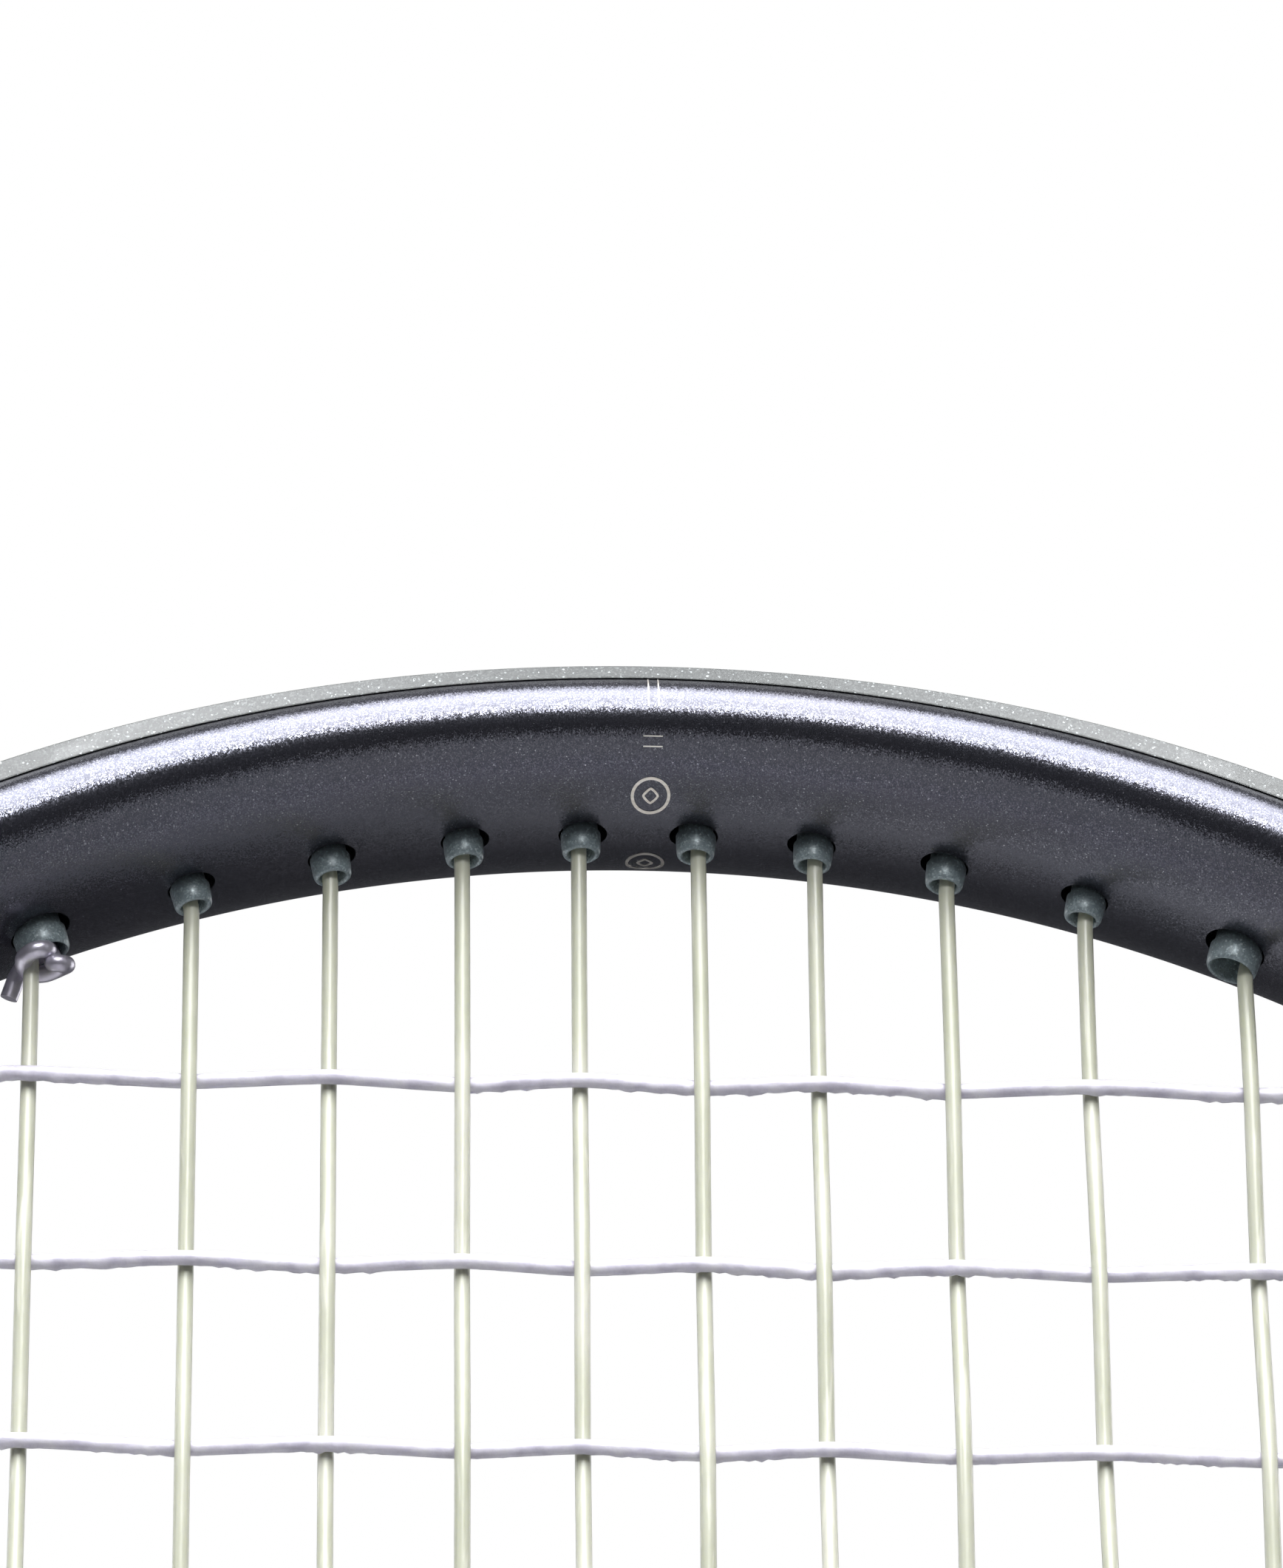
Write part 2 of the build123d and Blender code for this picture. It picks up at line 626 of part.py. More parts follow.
def grip_collar():
    under = GRIP_THICKNESS + TAPE_THICKNESS + COLLAR_PLAY
    cone_bottom = COLLAR_TOP - COLLAR_CONE
    outer = octagon_prism(CAP_SKIRT, COLLAR_BOTTOM, cone_bottom, grow=under + COLLAR_WALL)
    cone = loft([
        Pos(0, 0, cone_bottom) * octagon(CAP_SKIRT, grow=under + COLLAR_WALL),
        Pos(0, 0, COLLAR_TOP) * octagon(CAP_SKIRT, grow=COLLAR_LIP_GROW),
    ])
    pocket = octagon_prism(CAP_SKIRT, COLLAR_BOTTOM - 1, PALLET_TOP + COLLAR_HEADROOM, grow=under)
    leg_x = HAIRPIN.at(HAIRPIN.length)[0]
    shaft = RectangleRounded(2 * (leg_x + HALF_RIM + LIP_PLAY), 2 * (HALF_BEAM + LIP_PLAY), SHAFT_CORNER)
    opening = extrude(Pos(0, 0, PALLET_TOP) * shaft, amount=COLLAR_TOP - PALLET_TOP + 1)
    return outer + cone - pocket - opening


def staple_crown(side):
    """The flat wire of a staple on the butt cap's front or back, under the grip."""
    y = side * (CAP_SKIRT[1] / 2 + STAPLE_WIRE / 2 + SEAM)
    return Pos(0, y, GRIP_STAPLE_Z) * Box(STAPLE_WIDTH, STAPLE_WIRE, 2 * STAPLE_WIRE)


def dampener():
    top = CROSS_Z[-1] - CROSS_RADIUS - DAMPENER_GAP
    centre = top - DAMPENER_RADIUS
    plane = Plane(origin=(0, 0, centre), x_dir=(1, 0, 0), z_dir=(0, -1, 0))
    drum = extrude(plane * Circle(DAMPENER_RADIUS), amount=DAMPENER_DEPTH / 2, both=True)
    drum = fillet(drum.edges().filter_by(GeomType.CIRCLE), DAMPENER_LIP)
    for side in (-1, 1):
        middle = side * (MAIN_X[0] + ROOM / 2 - MAIN_RADIUS - DAMPENER_STRING_GAP)
        drum = drum - Pos(middle, MAIN_LANE, centre) * Box(ROOM, DAMPENER_SLOT, 4 * DAMPENER_RADIUS)
    floor = plane.offset(DAMPENER_DEPTH / 2 - DISC_DEPTH)
    seat = extrude(floor * Circle(DISC_RADIUS + DISC_PLAY), amount=2 * DISC_DEPTH)
    disc = extrude(floor * Circle(DISC_RADIUS), amount=DISC_DEPTH)
    disc = chamfer(disc.edges().filter_by(GeomType.CIRCLE).group_by(Axis.Y)[0], DISC_CHAMFER)
    return drum - seat, disc


def write(name, shape):
    os.makedirs("parts", exist_ok=True)
    solids = shape.solids() if hasattr(shape, "solids") else [shape]
    keep = solids[0] if len(solids) == 1 else Compound(children=list(solids))
    keep.label = name
    export_step(keep, f"parts/{name}.step")


def build():
    envelope = hairpin_envelope()
    write("frame_hairpin", frame_hairpin(envelope))
    write("throat_bridge", throat_bridge(envelope))
    write("bumper_guard", bumper_guard())
    right = side_grommets()
    write("side_grommets_right", right)
    write("side_grommets_left", mirror(right, about=Plane.YZ))
    write("throat_grommets", throat_grommets())
    write("main_string", string_tube(main_route(), MAIN_RADIUS))
    write("cross_string", string_tube(cross_route(), CROSS_RADIUS))
    write("cross_start_knot", knot(TIP_BARRELS[4], -1, -1))
    write("cross_end_knot", knot(THROAT_BARRELS[5], 1, 1))
    write("main_knot_left", knot(THROAT_BARRELS[6], -1, 1))
    write("main_knot_right", knot(THROAT_BARRELS[6], 1, 1))
    front, back = pallets(envelope)
    write("handle_pallet_front", front)
    write("handle_pallet_back", back)
    write("butt_cap", butt_cap())
    write("butt_trapdoor", butt_trapdoor())
    write("base_grip", base_grip())
    write("finishing_tape", finishing_tape())
    write("grip_collar", grip_collar())
    write("butt_cap_staples", Compound(children=[staple_crown(-1), staple_crown(1)]))
    drum, disc = dampener()
    write("dampener_body", drum)
    write("dampener_disc", disc)


build()
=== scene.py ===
"""The looks of a strung tennis racket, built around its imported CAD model."""

from math import asin, atan2, ceil, copysign, cos, degrees, exp, hypot, pi, radians, sin, sqrt, tan
from types import SimpleNamespace

import bmesh
import bpy
import numpy as np
from mathutils import Matrix, Vector, noise


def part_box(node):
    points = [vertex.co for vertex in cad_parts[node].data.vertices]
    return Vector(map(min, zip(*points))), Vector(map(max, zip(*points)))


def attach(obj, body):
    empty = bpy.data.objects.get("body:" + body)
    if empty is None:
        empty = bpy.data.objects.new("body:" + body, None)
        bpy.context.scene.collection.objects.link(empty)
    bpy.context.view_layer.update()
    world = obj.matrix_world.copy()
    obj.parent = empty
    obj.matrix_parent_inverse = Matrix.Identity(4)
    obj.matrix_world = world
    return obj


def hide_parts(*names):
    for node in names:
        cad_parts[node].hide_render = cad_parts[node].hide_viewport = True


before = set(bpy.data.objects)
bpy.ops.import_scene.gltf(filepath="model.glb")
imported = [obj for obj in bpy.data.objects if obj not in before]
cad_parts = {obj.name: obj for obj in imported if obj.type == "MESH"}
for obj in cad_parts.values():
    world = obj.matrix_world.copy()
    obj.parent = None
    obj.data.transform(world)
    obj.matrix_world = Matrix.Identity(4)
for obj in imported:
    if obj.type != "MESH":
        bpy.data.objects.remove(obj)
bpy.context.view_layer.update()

MM = 0.001
SIDES = ((1, "right"), (-1, "left"))

# Frame, as in the CAD model, in millimetres
HALF_BEAM = 11.5
HALF_RIM = 5.4
RIM_POWER = 2.3  # the section is a superellipse,
INNER_RIM = 5.68  # a little deeper and rounder on its inner side
INNER_POWER = 2.15
TIP_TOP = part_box("frame_hairpin")[1].z / MM
HALF_HEAD = TIP_TOP - HALF_RIM
HEAD_INSIDE_TOP = HALF_HEAD - HALF_RIM
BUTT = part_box("butt_cap")[0].z / MM

HAIRPIN_PIECES = [
    (128.5, 30.0), (99.5, 33.0), (213.2, 27.0), (264.4, 24.0), (107.7, 10.0),
    (None, 95.3), (-210.0, 34.0), (None, 198.0),
]
BRIDGE_PIECES = [(107.7, 26.0), (118.0, 60.0), (107.7, 26.0)]
JOIN = 0.01  # how far past its ends a piece of a path still counts
GROOVE_HALF_WIDTH = 2.75
GROOVE_FLOOR = 2.8
GROOVE_LIP = 0.25  # rounding of the groove's edges
GROOVE_PAST_DEPARTURE = 54.0
BRIDGE_GROOVE_FLOOR = 5.0
BRIDGE_HALF_RIM = 6.5
BRIDGE_HALF_BEAM = 10.5
BRIDGE_SHIFT = 1.1
BRIDGE_SWELL = 2.6  # the bridge's growth towards the arms
BRIDGE_INSET = 5.2  # where it ends inside an arm, outwards from that arm's centreline
BUMPER_END = 60.0
LEGS_NEAR = 290.0  # the height at which the legs begin to square off,
LEGS_JOINING = 85.0  # and the drop over which they do

# Marks: along the tip, round its section, and millimetres per degree of that turn
MARK_X = 0.8
MARK_TURN = 154.0
MARK_SCALE = 0.145

# Holes and grommets
HOLE_RADIUS = 2.0
TIE_HOLE_RADIUS = 2.55
STRIP_THICKNESS = 0.9
BARREL_REACH = 2.25
BARREL_LEAN = 0.75
CROSS_LEAN = 0.12
BARREL_OFFSET = 0.22  # barrels sit this much nearer the middle than their main strings
TIE_BARREL_OFFSET = 1.2
HOLE_OFFSET = 0.18  # and the holes this much nearer again
HOLE_RUN_OUT = 1.0
STRING_HEIGHT = STRIP_THICKNESS + 0.7  # of a string's centre above the groove's floor

# Strings
MAIN_RADIUS = 0.65
CROSS_RADIUS = 0.625
MAIN_WEAVE = 0.70
CROSS_WEAVE = 0.53
WEAVE_STEP = 0.9
STRAIGHT_END = 2.0  # of each run, next to its barrels
LANE = 0.66
OUTER_LANE = 1.99
MAIN_X = (4.88, 14.39, 25.11, 36.35, 49.22, 62.9, 76.9, 91.7)
CROSS_GAPS = (16.65, 16.4, 15.8, 15.2, 14.7, 14.3, 14.0, 13.8, 13.7,
              13.7, 13.8, 14.0, 14.2, 14.5, 14.8, 15.1, 15.3, 15.3)
FIRST_CROSS = 23.6
BRIDGE_MAINS = 5  # how many mains of each half end in the bridge
GUARD_CROSSES = 2  # how many crosses have their barrels in the bumper guard
START_TIE, END_TIE, MAIN_TIE = 4, 5, 6  # the mains whose barrels also hold a tied end
CROSS_Z = [HEAD_INSIDE_TOP - FIRST_CROSS]
for gap in CROSS_GAPS:
    CROSS_Z.append(CROSS_Z[-1] - gap)


# ---- paths

class Path:
    """A plane path of tangent arcs and lines; its turn is the angle of its outward normal from +Z."""

    def __init__(self, x, z, turn, pieces):
        self.pieces = []
        station = 0.0
        for radius, size in pieces:
            length = size if radius is None else radians(size) * abs(radius)
            piece = SimpleNamespace(x=x, z=z, turn=turn, radius=radius, start=station, length=length)
            self.pieces.append(piece)
            x, z, turn = self.advance(piece, length)
            station += length
        self.length = station

    def advance(self, piece, run):
        """Point and turn after a run along one piece."""
        turn, radius = radians(piece.turn), piece.radius
        if radius is None:
            return piece.x + run * cos(turn), piece.z - run * sin(turn), piece.turn
        end = turn + run / radius
        x = piece.x + radius * (sin(end) - sin(turn))
        z = piece.z + radius * (cos(end) - cos(turn))
        return x, z, degrees(end)

    def at(self, station, out=0.0):
        """Point and turn at a station, moved outwards along the normal."""
        piece = next((p for p in self.pieces if station <= p.start + p.length), self.pieces[-1])
        x, z, turn = self.advance(piece, station - piece.start)
        angle = radians(turn)
        return x + out * sin(angle), z + out * cos(angle), turn

    def locate(self, x, z):
        """Station and height above the path of a point, or None."""
        found = []
        for piece in self.pieces:
            turn, radius = radians(piece.turn), piece.radius
            dx, dz = x - piece.x, z - piece.z
            if radius is None:
                run = dx * cos(turn) - dz * sin(turn)
                out = dx * sin(turn) + dz * cos(turn)
            else:
                side = copysign(1.0, radius)
                dx, dz = side * (dx + radius * sin(turn)), side * (dz + radius * cos(turn))
                run = ((atan2(dx, dz) - turn + pi) % (2 * pi) - pi) * radius
                out = side * hypot(dx, dz) - radius
            if -JOIN <= run <= piece.length + JOIN:
                found.append((abs(out), piece.start + run, out))
        return min(found)[1:] if found else None

    def station_of_turn(self, turn):
        for piece in self.pieces:
            end = self.advance(piece, piece.length)[2]
            if piece.radius is not None and min(piece.turn, end) <= turn <= max(piece.turn, end):
                return piece.start + radians(abs(turn - piece.turn)) * abs(piece.radius)
        raise ValueError(turn)


HAIRPIN = Path(0, HALF_HEAD, 0, HAIRPIN_PIECES)
DEPARTURE = HAIRPIN.pieces[5].start
BRIDGE = Path(*HAIRPIN.at(DEPARTURE), BRIDGE_PIECES)
HEAD_HALF = Path(0, HALF_HEAD, 0, HAIRPIN_PIECES[:5] + [BRIDGE_PIECES[0], (118.0, 30.0)])
BUMPER_STATION = HAIRPIN.station_of_turn(BUMPER_END)
GROOVE_END = DEPARTURE + GROOVE_PAST_DEPARTURE


def solve(function, low, high):
    """Where an increasing function crosses zero."""
    for _ in range(50):
        middle = (low + high) / 2
        if function(middle) > 0:
            high = middle
        else:
            low = middle
    return (low + high) / 2


class Barrel:
    """One string hole on the right half: its mouth inside the head, its axis and its outlet in the groove."""

    def __init__(self, station, slope, path, floor, tie):
        x, z, turn = HEAD_HALF.at(station)
        angle = radians(slope)
        self.direction = np.array((sin(angle), cos(angle)))
        self.path = path
        self.floor = floor
        self.tie = tie
        reach = (HALF_RIM + BARREL_REACH) / cos(angle - radians(turn))
        self.mouth = np.array((x, z)) - reach * self.direction
        self.outlet = self.march(floor + STRING_HEIGHT)
        self.top = self.march(floor + STRIP_THICKNESS)
        self.station = path.locate(*self.outlet)[0]

    def march(self, height):
        def above(distance):
            found = self.path.locate(*(self.mouth + distance * self.direction))
            return -1.0 if found is None else found[1] - height

        return self.mouth + solve(above, 0.0, 40.0) * self.direction


def find_barrel(slope, axis, target, low, high, rising, path=HAIRPIN, floor=GROOVE_FLOOR, tie=False):
    """The barrel whose mouth, which rises (1) or falls (-1) in X (axis 0) or Z (axis 1), is at the target."""
    def past(station):
        place = HEAD_HALF.at(station)
        angle = radians(slope(place[2]))
        return rising * (place[axis] - (HALF_RIM + BARREL_REACH) * (sin(angle), cos(angle))[axis] - target)

    station = solve(past, low, high)
    return Barrel(station, slope(HEAD_HALF.at(station)[2]), path, floor, tie)


def main_barrel(number, at_tip):
    half = HEAD_HALF.station_of_turn(90)
    if at_tip:
        return find_barrel(lambda turn: BARREL_LEAN * turn, 0, MAIN_X[number], 0, half, 1,
                           tie=number == START_TIE)
    path, floor = (BRIDGE, BRIDGE_GROOVE_FLOOR) if number < BRIDGE_MAINS else (HAIRPIN, GROOVE_FLOOR)
    return find_barrel(lambda turn: 180 - BARREL_LEAN * (180 - turn), 0, MAIN_X[number], half,
                       HEAD_HALF.length, -1, path, floor, number in (END_TIE, MAIN_TIE))


def cross_barrel(height):
    return find_barrel(lambda turn: turn + CROSS_LEAN * (90 - turn), 1, height, 0, HEAD_HALF.length, -1)


TIP_BARRELS = [main_barrel(number, True) for number in range(len(MAIN_X))]
THROAT_BARRELS = [main_barrel(number, False) for number in range(len(MAIN_X))]
SIDE_BARRELS = [cross_barrel(height) for height in CROSS_Z]


# ---- mesh helpers

def linked_object(name, data):
    thing = bpy.data.objects.new(name, data)
    bpy.context.scene.collection.objects.link(thing)
    return thing


def new_object(name, build):
    """An object from a build's points, which are in millimetres."""
    mesh = bpy.data.meshes.new(name)
    mesh.from_pydata([tuple(c * MM for c in v) for v in build.points], [], build.faces)
    mesh.validate()
    mesh.update()
    return linked_object(name, mesh)


def add_piece(name, build, material, node=None, sharp=40.0, body="racket"):
    """A piece that rides a body and can stand for a CAD node."""
    thing = new_object(name, build)
    finish_mesh(thing, sharp)
    thing.data.materials.append(material)
    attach(thing, body)
    if node:
        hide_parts(node)
    return thing


def finish_mesh(thing, sharp):
    """Outward normals, smooth faces and sharp edges by angle."""
    work = bmesh.new()
    work.from_mesh(thing.data)
    bmesh.ops.recalc_face_normals(work, faces=work.faces)
    for face in work.faces:
        face.smooth = True
    work.to_mesh(thing.data)
    work.free()
    thing.data.set_sharp_from_angle(angle=radians(sharp))


class Build:
    """Collects points and faces of one piece."""

    def __init__(self):
        self.points = []
        self.faces = []

    def grid(self, rings, closed=False):
        """Join a row of equal rings, each a closed loop of points; cap its ends or close it on itself."""
        base = len(self.points)
        count = len(rings[0])
        for ring in rings:
            self.points.extend(ring)
        rows = len(rings) if closed else len(rings) - 1
        for row in range(rows):
            a = base + row * count
            b = base + (row + 1) % len(rings) * count
            for i in range(count):
                j = (i + 1) % count
                self.faces.append((a + i, a + j, b + j, b + i))
        if not closed:
            self.faces.append(tuple(range(base + count - 1, base - 1, -1)))
            self.faces.append(tuple(range(base + rows * count, base + (rows + 1) * count)))
        return self

    def rod(self, low, high, radius, sides):
        """A plain round rod between two points."""
        _, around = spokes(Vector(high) - Vector(low), sides)
        return self.grid([[tuple(Vector(end) + out * radius) for out in around] for end in (low, high)])

    def lathe(self, origin, axis, profile, sides):
        """Turn a closed profile of (radius, distance along the axis) about an axis."""
        axis, around = spokes(axis, sides)
        rings = [[tuple(Vector(origin) + out * r + axis * d) for r, d in profile] for out in around]
        return self.grid(rings, closed=True)


def spokes(axis, sides):
    """The unit vector along an axis, which must be at least a hair off Y, and unit vectors all round it."""
    axis = Vector(axis).normalized()
    across = Vector((0, 1, 0)).cross(axis).normalized()
    up = axis.cross(across)
    turns = [2 * pi * step / sides for step in range(sides)]
    return axis, [across * cos(turn) + up * sin(turn) for turn in turns]


def on_rail(path, station, out, front):
    """The point at a signed station: negative stations are the left half."""
    side = -1 if station < 0 else 1
    x, z, _ = path.at(abs(station), out)
    return side * x, -front, z


def stations(low, high, step):
    count = max(1, ceil((high - low) / step))
    return [low + (high - low) * i / count for i in range(count + 1)]


def finer_stations(end, step, fine_end, fine_step):
    """Stations from -end to end, closer together between -fine_end and fine_end."""
    outer = stations(fine_end, end, step)[1:]
    return [-s for s in reversed(outer)] + stations(-fine_end, fine_end, fine_step) + outer


def smoothstep(value):
    value = min(1.0, max(0.0, value))
    return value * value * (3 - 2 * value)


# ---- materials

class Nodes:
    """A small helper for building one procedural material."""

    def __init__(self, name, **inputs):
        self.material = bpy.data.materials.new(name)
        self.material.use_nodes = True
        self.tree = self.material.node_tree
        self.shader = next(n for n in self.tree.nodes if n.type == "BSDF_PRINCIPLED")
        for key, value in inputs.items():
            self.shader.inputs[key.replace("_", " ")].default_value = value
        self.place = self.tree.nodes.new("ShaderNodeTexCoord").outputs["Object"]

    def node(self, kind, inputs=None, **settings):
        made = self.tree.nodes.new("ShaderNode" + kind)
        for key, value in settings.items():
            setattr(made, key, value)
        for key, value in (inputs or {}).items():
            if isinstance(value, bpy.types.NodeSocket):
                self.tree.links.new(value, made.inputs[key])
            else:
                made.inputs[key].default_value = value
        return made

    def noise(self, scale, detail=2.0, stretch=(1, 1, 1)):
        place = self.node("Mapping", {"Vector": self.place, "Scale": stretch}).outputs["Vector"]
        return self.node("TexNoise", {"Vector": place, "Scale": scale, "Detail": detail}).outputs["Fac"]

    def cells(self, scale, output="Color", random=1.0, feature="F1"):
        inputs = {"Vector": self.place, "Scale": scale, "Randomness": random}
        return self.node("TexVoronoi", inputs, feature=feature).outputs[output]

    def ramp(self, value, *stops):
        """A colour ramp with (place, colour) stops."""
        ramp = self.node("ValToRGB", {"Fac": value})
        elements = ramp.color_ramp.elements
        elements[0].position, elements[1].position = stops[0][0], stops[-1][0]
        elements[0].color, elements[1].color = (*stops[0][1], 1), (*stops[-1][1], 1)
        for position, color in stops[1:-1]:
            elements.new(position).color = (*color, 1)
        return ramp.outputs["Color"]

    def cloudy(self, scale, detail, dark, light):
        return self.ramp(self.noise(scale, detail), (0.3, dark), (0.7, light))

    def share(self, value, factor, added=0.0):
        return self.node("Math", {0: value, 1: factor, 2: added}, operation="MULTIPLY_ADD").outputs[0]

    def mix(self, factor, a, b):
        return self.node("Mix", {0: factor, 6: a, 7: b}, data_type="RGBA").outputs[2]

    def vector(self, operation, inputs):
        return self.node("VectorMath", inputs, operation=operation).outputs[0]

    def bump(self, height, strength, distance, normal=None):
        inputs = {"Height": height, "Strength": strength, "Distance": distance}
        if normal is not None:
            inputs["Normal"] = normal
        return self.node("Bump", inputs).outputs["Normal"]

    def finished(self, color, roughness=None, normal=None):
        """The material, once its shader is linked up."""
        for socket, value in (("Base Color", color), ("Roughness", roughness), ("Normal", normal)):
            if value is not None:
                self.tree.links.new(value, self.shader.inputs[socket])
        return self.material


BLACK, WHITE = (0.0, 0.0, 0.0), (1.0, 1.0, 1.0)


def frame_paint():
    """Charcoal paint with fine metal flakes lying at slightly different angles."""
    m = Nodes("frame_paint", Metallic=0.9, Specular_IOR_Level=0.4)
    flakes = m.cells(11000.0)
    shade = m.ramp(flakes, (0.0, (0.056, 0.060, 0.077)), (0.55, (0.078, 0.082, 0.101)),
                   (0.88, (0.15, 0.155, 0.185)), (1.0, (0.55, 0.56, 0.60)))
    color = m.mix(m.share(m.noise(70.0, 3.0), 0.3), shade, (0.088, 0.078, 0.080, 1))
    tilt = m.vector("SCALE", {0: m.vector("SUBTRACT", {0: flakes, 1: (0.5, 0.5, 0.5)}), "Scale": 0.17})
    leant = m.vector("ADD", {0: m.node("NewGeometry").outputs["Normal"], 1: tilt})
    return m.finished(color, m.share(m.noise(2600.0, 1.0), 0.06, 0.20), m.vector("NORMALIZE", {0: leant}))


def guard_plastic(name, shade):
    """Grey-green moulded plastic with a fine sparkle."""
    m = Nodes(name, Metallic=0.15, Specular_IOR_Level=0.6)
    grains = m.cells(7000.0)
    shares = ((0.0, 1.0), (0.6, 1.3), (0.85, 2.0))
    stops = [(place, [share * level for level in shade]) for place, share in shares]
    color = m.ramp(grains, *stops, (1.0, (0.60, 0.65, 0.66)))
    return m.finished(color, m.share(m.noise(900.0), 0.15, 0.30), m.bump(grains, 0.5, 0.00005))


def main_gut():
    """Pale cream-green gut with cloudy bands and a few fibre lines."""
    m = Nodes("main_gut", Roughness=0.32, Coat_Weight=0.1, Coat_Roughness=0.25, Subsurface_Weight=0.4,
              Subsurface_Radius=(0.0012, 0.0012, 0.0008), Subsurface_Scale=1.0)
    body = m.ramp(m.noise(160.0, 4.0, (1.0, 1.0, 0.5)),
                  (0.30, (0.42, 0.435, 0.34)), (0.52, (0.48, 0.49, 0.40)), (0.72, (0.57, 0.57, 0.50)))
    fibres = m.ramp(m.noise(1500.0, 2.0, (1.0, 1.0, 0.035)), (0.60, BLACK), (0.70, WHITE))
    color = m.mix(m.share(fibres, 0.5), body, (0.70, 0.70, 0.62, 1))
    return m.finished(color, normal=m.bump(m.noise(700.0, 3.0, (1, 1, 0.2)), 0.12, 0.0001))


def cross_poly():
    """White string with a rough pearly skin and lavender shade."""
    m = Nodes("cross_polyester", Coat_Weight=0.2, Coat_Roughness=0.25, Subsurface_Weight=0.15,
              Subsurface_Radius=(0.0008, 0.0008, 0.0010), Subsurface_Scale=1.0)
    color = m.ramp(m.noise(420.0, 4.0),
                   (0.32, (0.50, 0.48, 0.57)), (0.5, (0.64, 0.62, 0.70)), (0.7, (0.72, 0.71, 0.76)))
    return m.finished(color, m.share(m.noise(1200.0), 0.3, 0.25), m.bump(m.noise(2300.0, 4.0), 0.35, 0.00016))


def knot_pearl_painted_shade():
    """The cross string's pearly skin at its knots, painted darker than the rest of the string as shade."""
    m = Nodes("knot_pearl_painted_shade", Metallic=0.75, Coat_Weight=0.4, Coat_Roughness=0.12)
    color = m.cloudy(500.0, 3.0, (0.40, 0.38, 0.45), (0.66, 0.64, 0.73))
    return m.finished(color, m.share(m.noise(900.0), 0.2, 0.26), m.bump(m.noise(1500.0, 3.0), 0.2, 0.0001))


def grip_leather():
    """Dark matt grip with rows of small punched holes, painted near-black as shade, and a fine grain."""
    m = Nodes("grip_leather", Specular_IOR_Level=0.35, Sheen_Weight=0.15, Sheen_Roughness=0.5)
    grain = m.cells(1500.0, "Distance", feature="DISTANCE_TO_EDGE")
    holes = m.ramp(m.cells(260.0, "Distance", 0.0), (0.13, BLACK), (0.20, WHITE))
    tone = m.cloudy(90.0, 4.0, (0.018, 0.018, 0.020), (0.042, 0.042, 0.046))
    # painted shade: the punched holes are coloured near-black for the shade inside them
    color = m.mix(holes, (0.004, 0.004, 0.005, 1), tone)
    normal = m.bump(holes, 0.6, 0.0003, m.bump(grain, 0.5, 0.0002))
    return m.finished(color, m.share(m.noise(300.0), 0.2, 0.55), normal)


def moulded(name, dark, light, roughness, scale=1100.0):
    """Moulded plastic or rubber with a fine spark-eroded grain."""
    m = Nodes(name, Specular_IOR_Level=0.45)
    color = m.cloudy(70.0, 3.0, dark, light)
    normal = m.bump(m.noise(scale, 3.0), 0.25, 0.0001)
    return m.finished(color, m.share(m.noise(400.0), 0.15, roughness), normal)


def brushed(name, dark, light, roughness):
    """Metal or foil with streaks along one direction."""
    m = Nodes(name, Metallic=1.0)
    streaks = m.noise(2500.0, 2.0, (0.04, 1.0, 1.0))
    return m.finished(m.ramp(streaks, (0.3, dark), (0.7, light)), m.share(streaks, 0.15, roughness))


PAINT = frame_paint()
GUARD = guard_plastic("guard_plastic", (0.067, 0.072, 0.071))
# The barrels are the guard's own plastic, painted lighter and bluer as painted light, for the light that the
# frame's overhang keeps off them
BARREL_PAINTED_LIGHT = guard_plastic("barrel_plastic_painted_light", (0.158, 0.195, 0.208))
GUT = main_gut()
PEARL = cross_poly()
KNOT_PAINTED_SHADE = knot_pearl_painted_shade()
LEATHER = grip_leather()
CAP = moulded("cap_plastic", (0.012, 0.012, 0.013), (0.022, 0.022, 0.024), 0.42)
RUBBER = moulded("collar_rubber", (0.012, 0.012, 0.012), (0.024, 0.024, 0.025), 0.62, 800.0)
TAPE = moulded("tape", (0.03, 0.03, 0.034), (0.05, 0.05, 0.055), 0.5, 1800.0)
FOAM = moulded("pallet_foam", (0.42, 0.37, 0.29), (0.56, 0.50, 0.41), 0.75, 500.0)
SOFT = moulded("dampener_rubber", (0.022, 0.023, 0.027), (0.038, 0.040, 0.046), 0.5, 900.0)
DISC = brushed("disc_plastic", (0.34, 0.36, 0.38), (0.52, 0.54, 0.57), 0.28)
STEEL = brushed("staple_steel", (0.45, 0.45, 0.46), (0.66, 0.66, 0.67), 0.25)
MARK = brushed("mark_foil", (0.62, 0.58, 0.52), (0.80, 0.77, 0.72), 0.3)


# ---- frame

def around_section(start, count, half_rim=HALF_RIM, half_beam=HALF_BEAM, inner=(INNER_RIM, INNER_POWER)):
    """Points (outwards, front) round a section, without `start` radians on each side of the outermost one."""
    points = []
    for i in range(count):
        angle = start + (2 * pi - 2 * start) * i / (count - 1)
        c, s = cos(angle), sin(angle)
        rim, power = (half_rim, RIM_POWER) if c > 0 else inner
        out = copysign(abs(c) ** (2 / power), c) * rim
        points.append((out, copysign(abs(s) ** (2 / power), s) * half_beam))
    return points


def groove_section(floor, half_rim=HALF_RIM, half_beam=HALF_BEAM, inner=(INNER_RIM, INNER_POWER), shift=0.0):
    """A section with the square string groove on its outer side."""
    start = asin((GROOVE_HALF_WIDTH / half_beam) ** (RIM_POWER / 2))
    skin = around_section(start, 54, half_rim, half_beam, inner)
    lip, width = skin[0][0] + shift - GROOVE_LIP, GROOVE_HALF_WIDTH
    bottom = [(floor, front) for front in (0.05 - width, -1.3, 0.0, 1.3, width - 0.05)]
    groove = [(lip, 0.02 - width)] + bottom + [(lip, width - 0.02)]
    return groove + [(out + shift, front) for out, front in skin]


def head_skin():
    """The head's tube, from one throat arm over the tip to the other, with its string groove."""
    section = groove_section(GROOVE_FLOOR)
    rail = finer_stations(GROOVE_END, 2.2, 70.0, 1.0)
    return Build().grid([[on_rail(HAIRPIN, s, *point) for point in section] for s in rail])


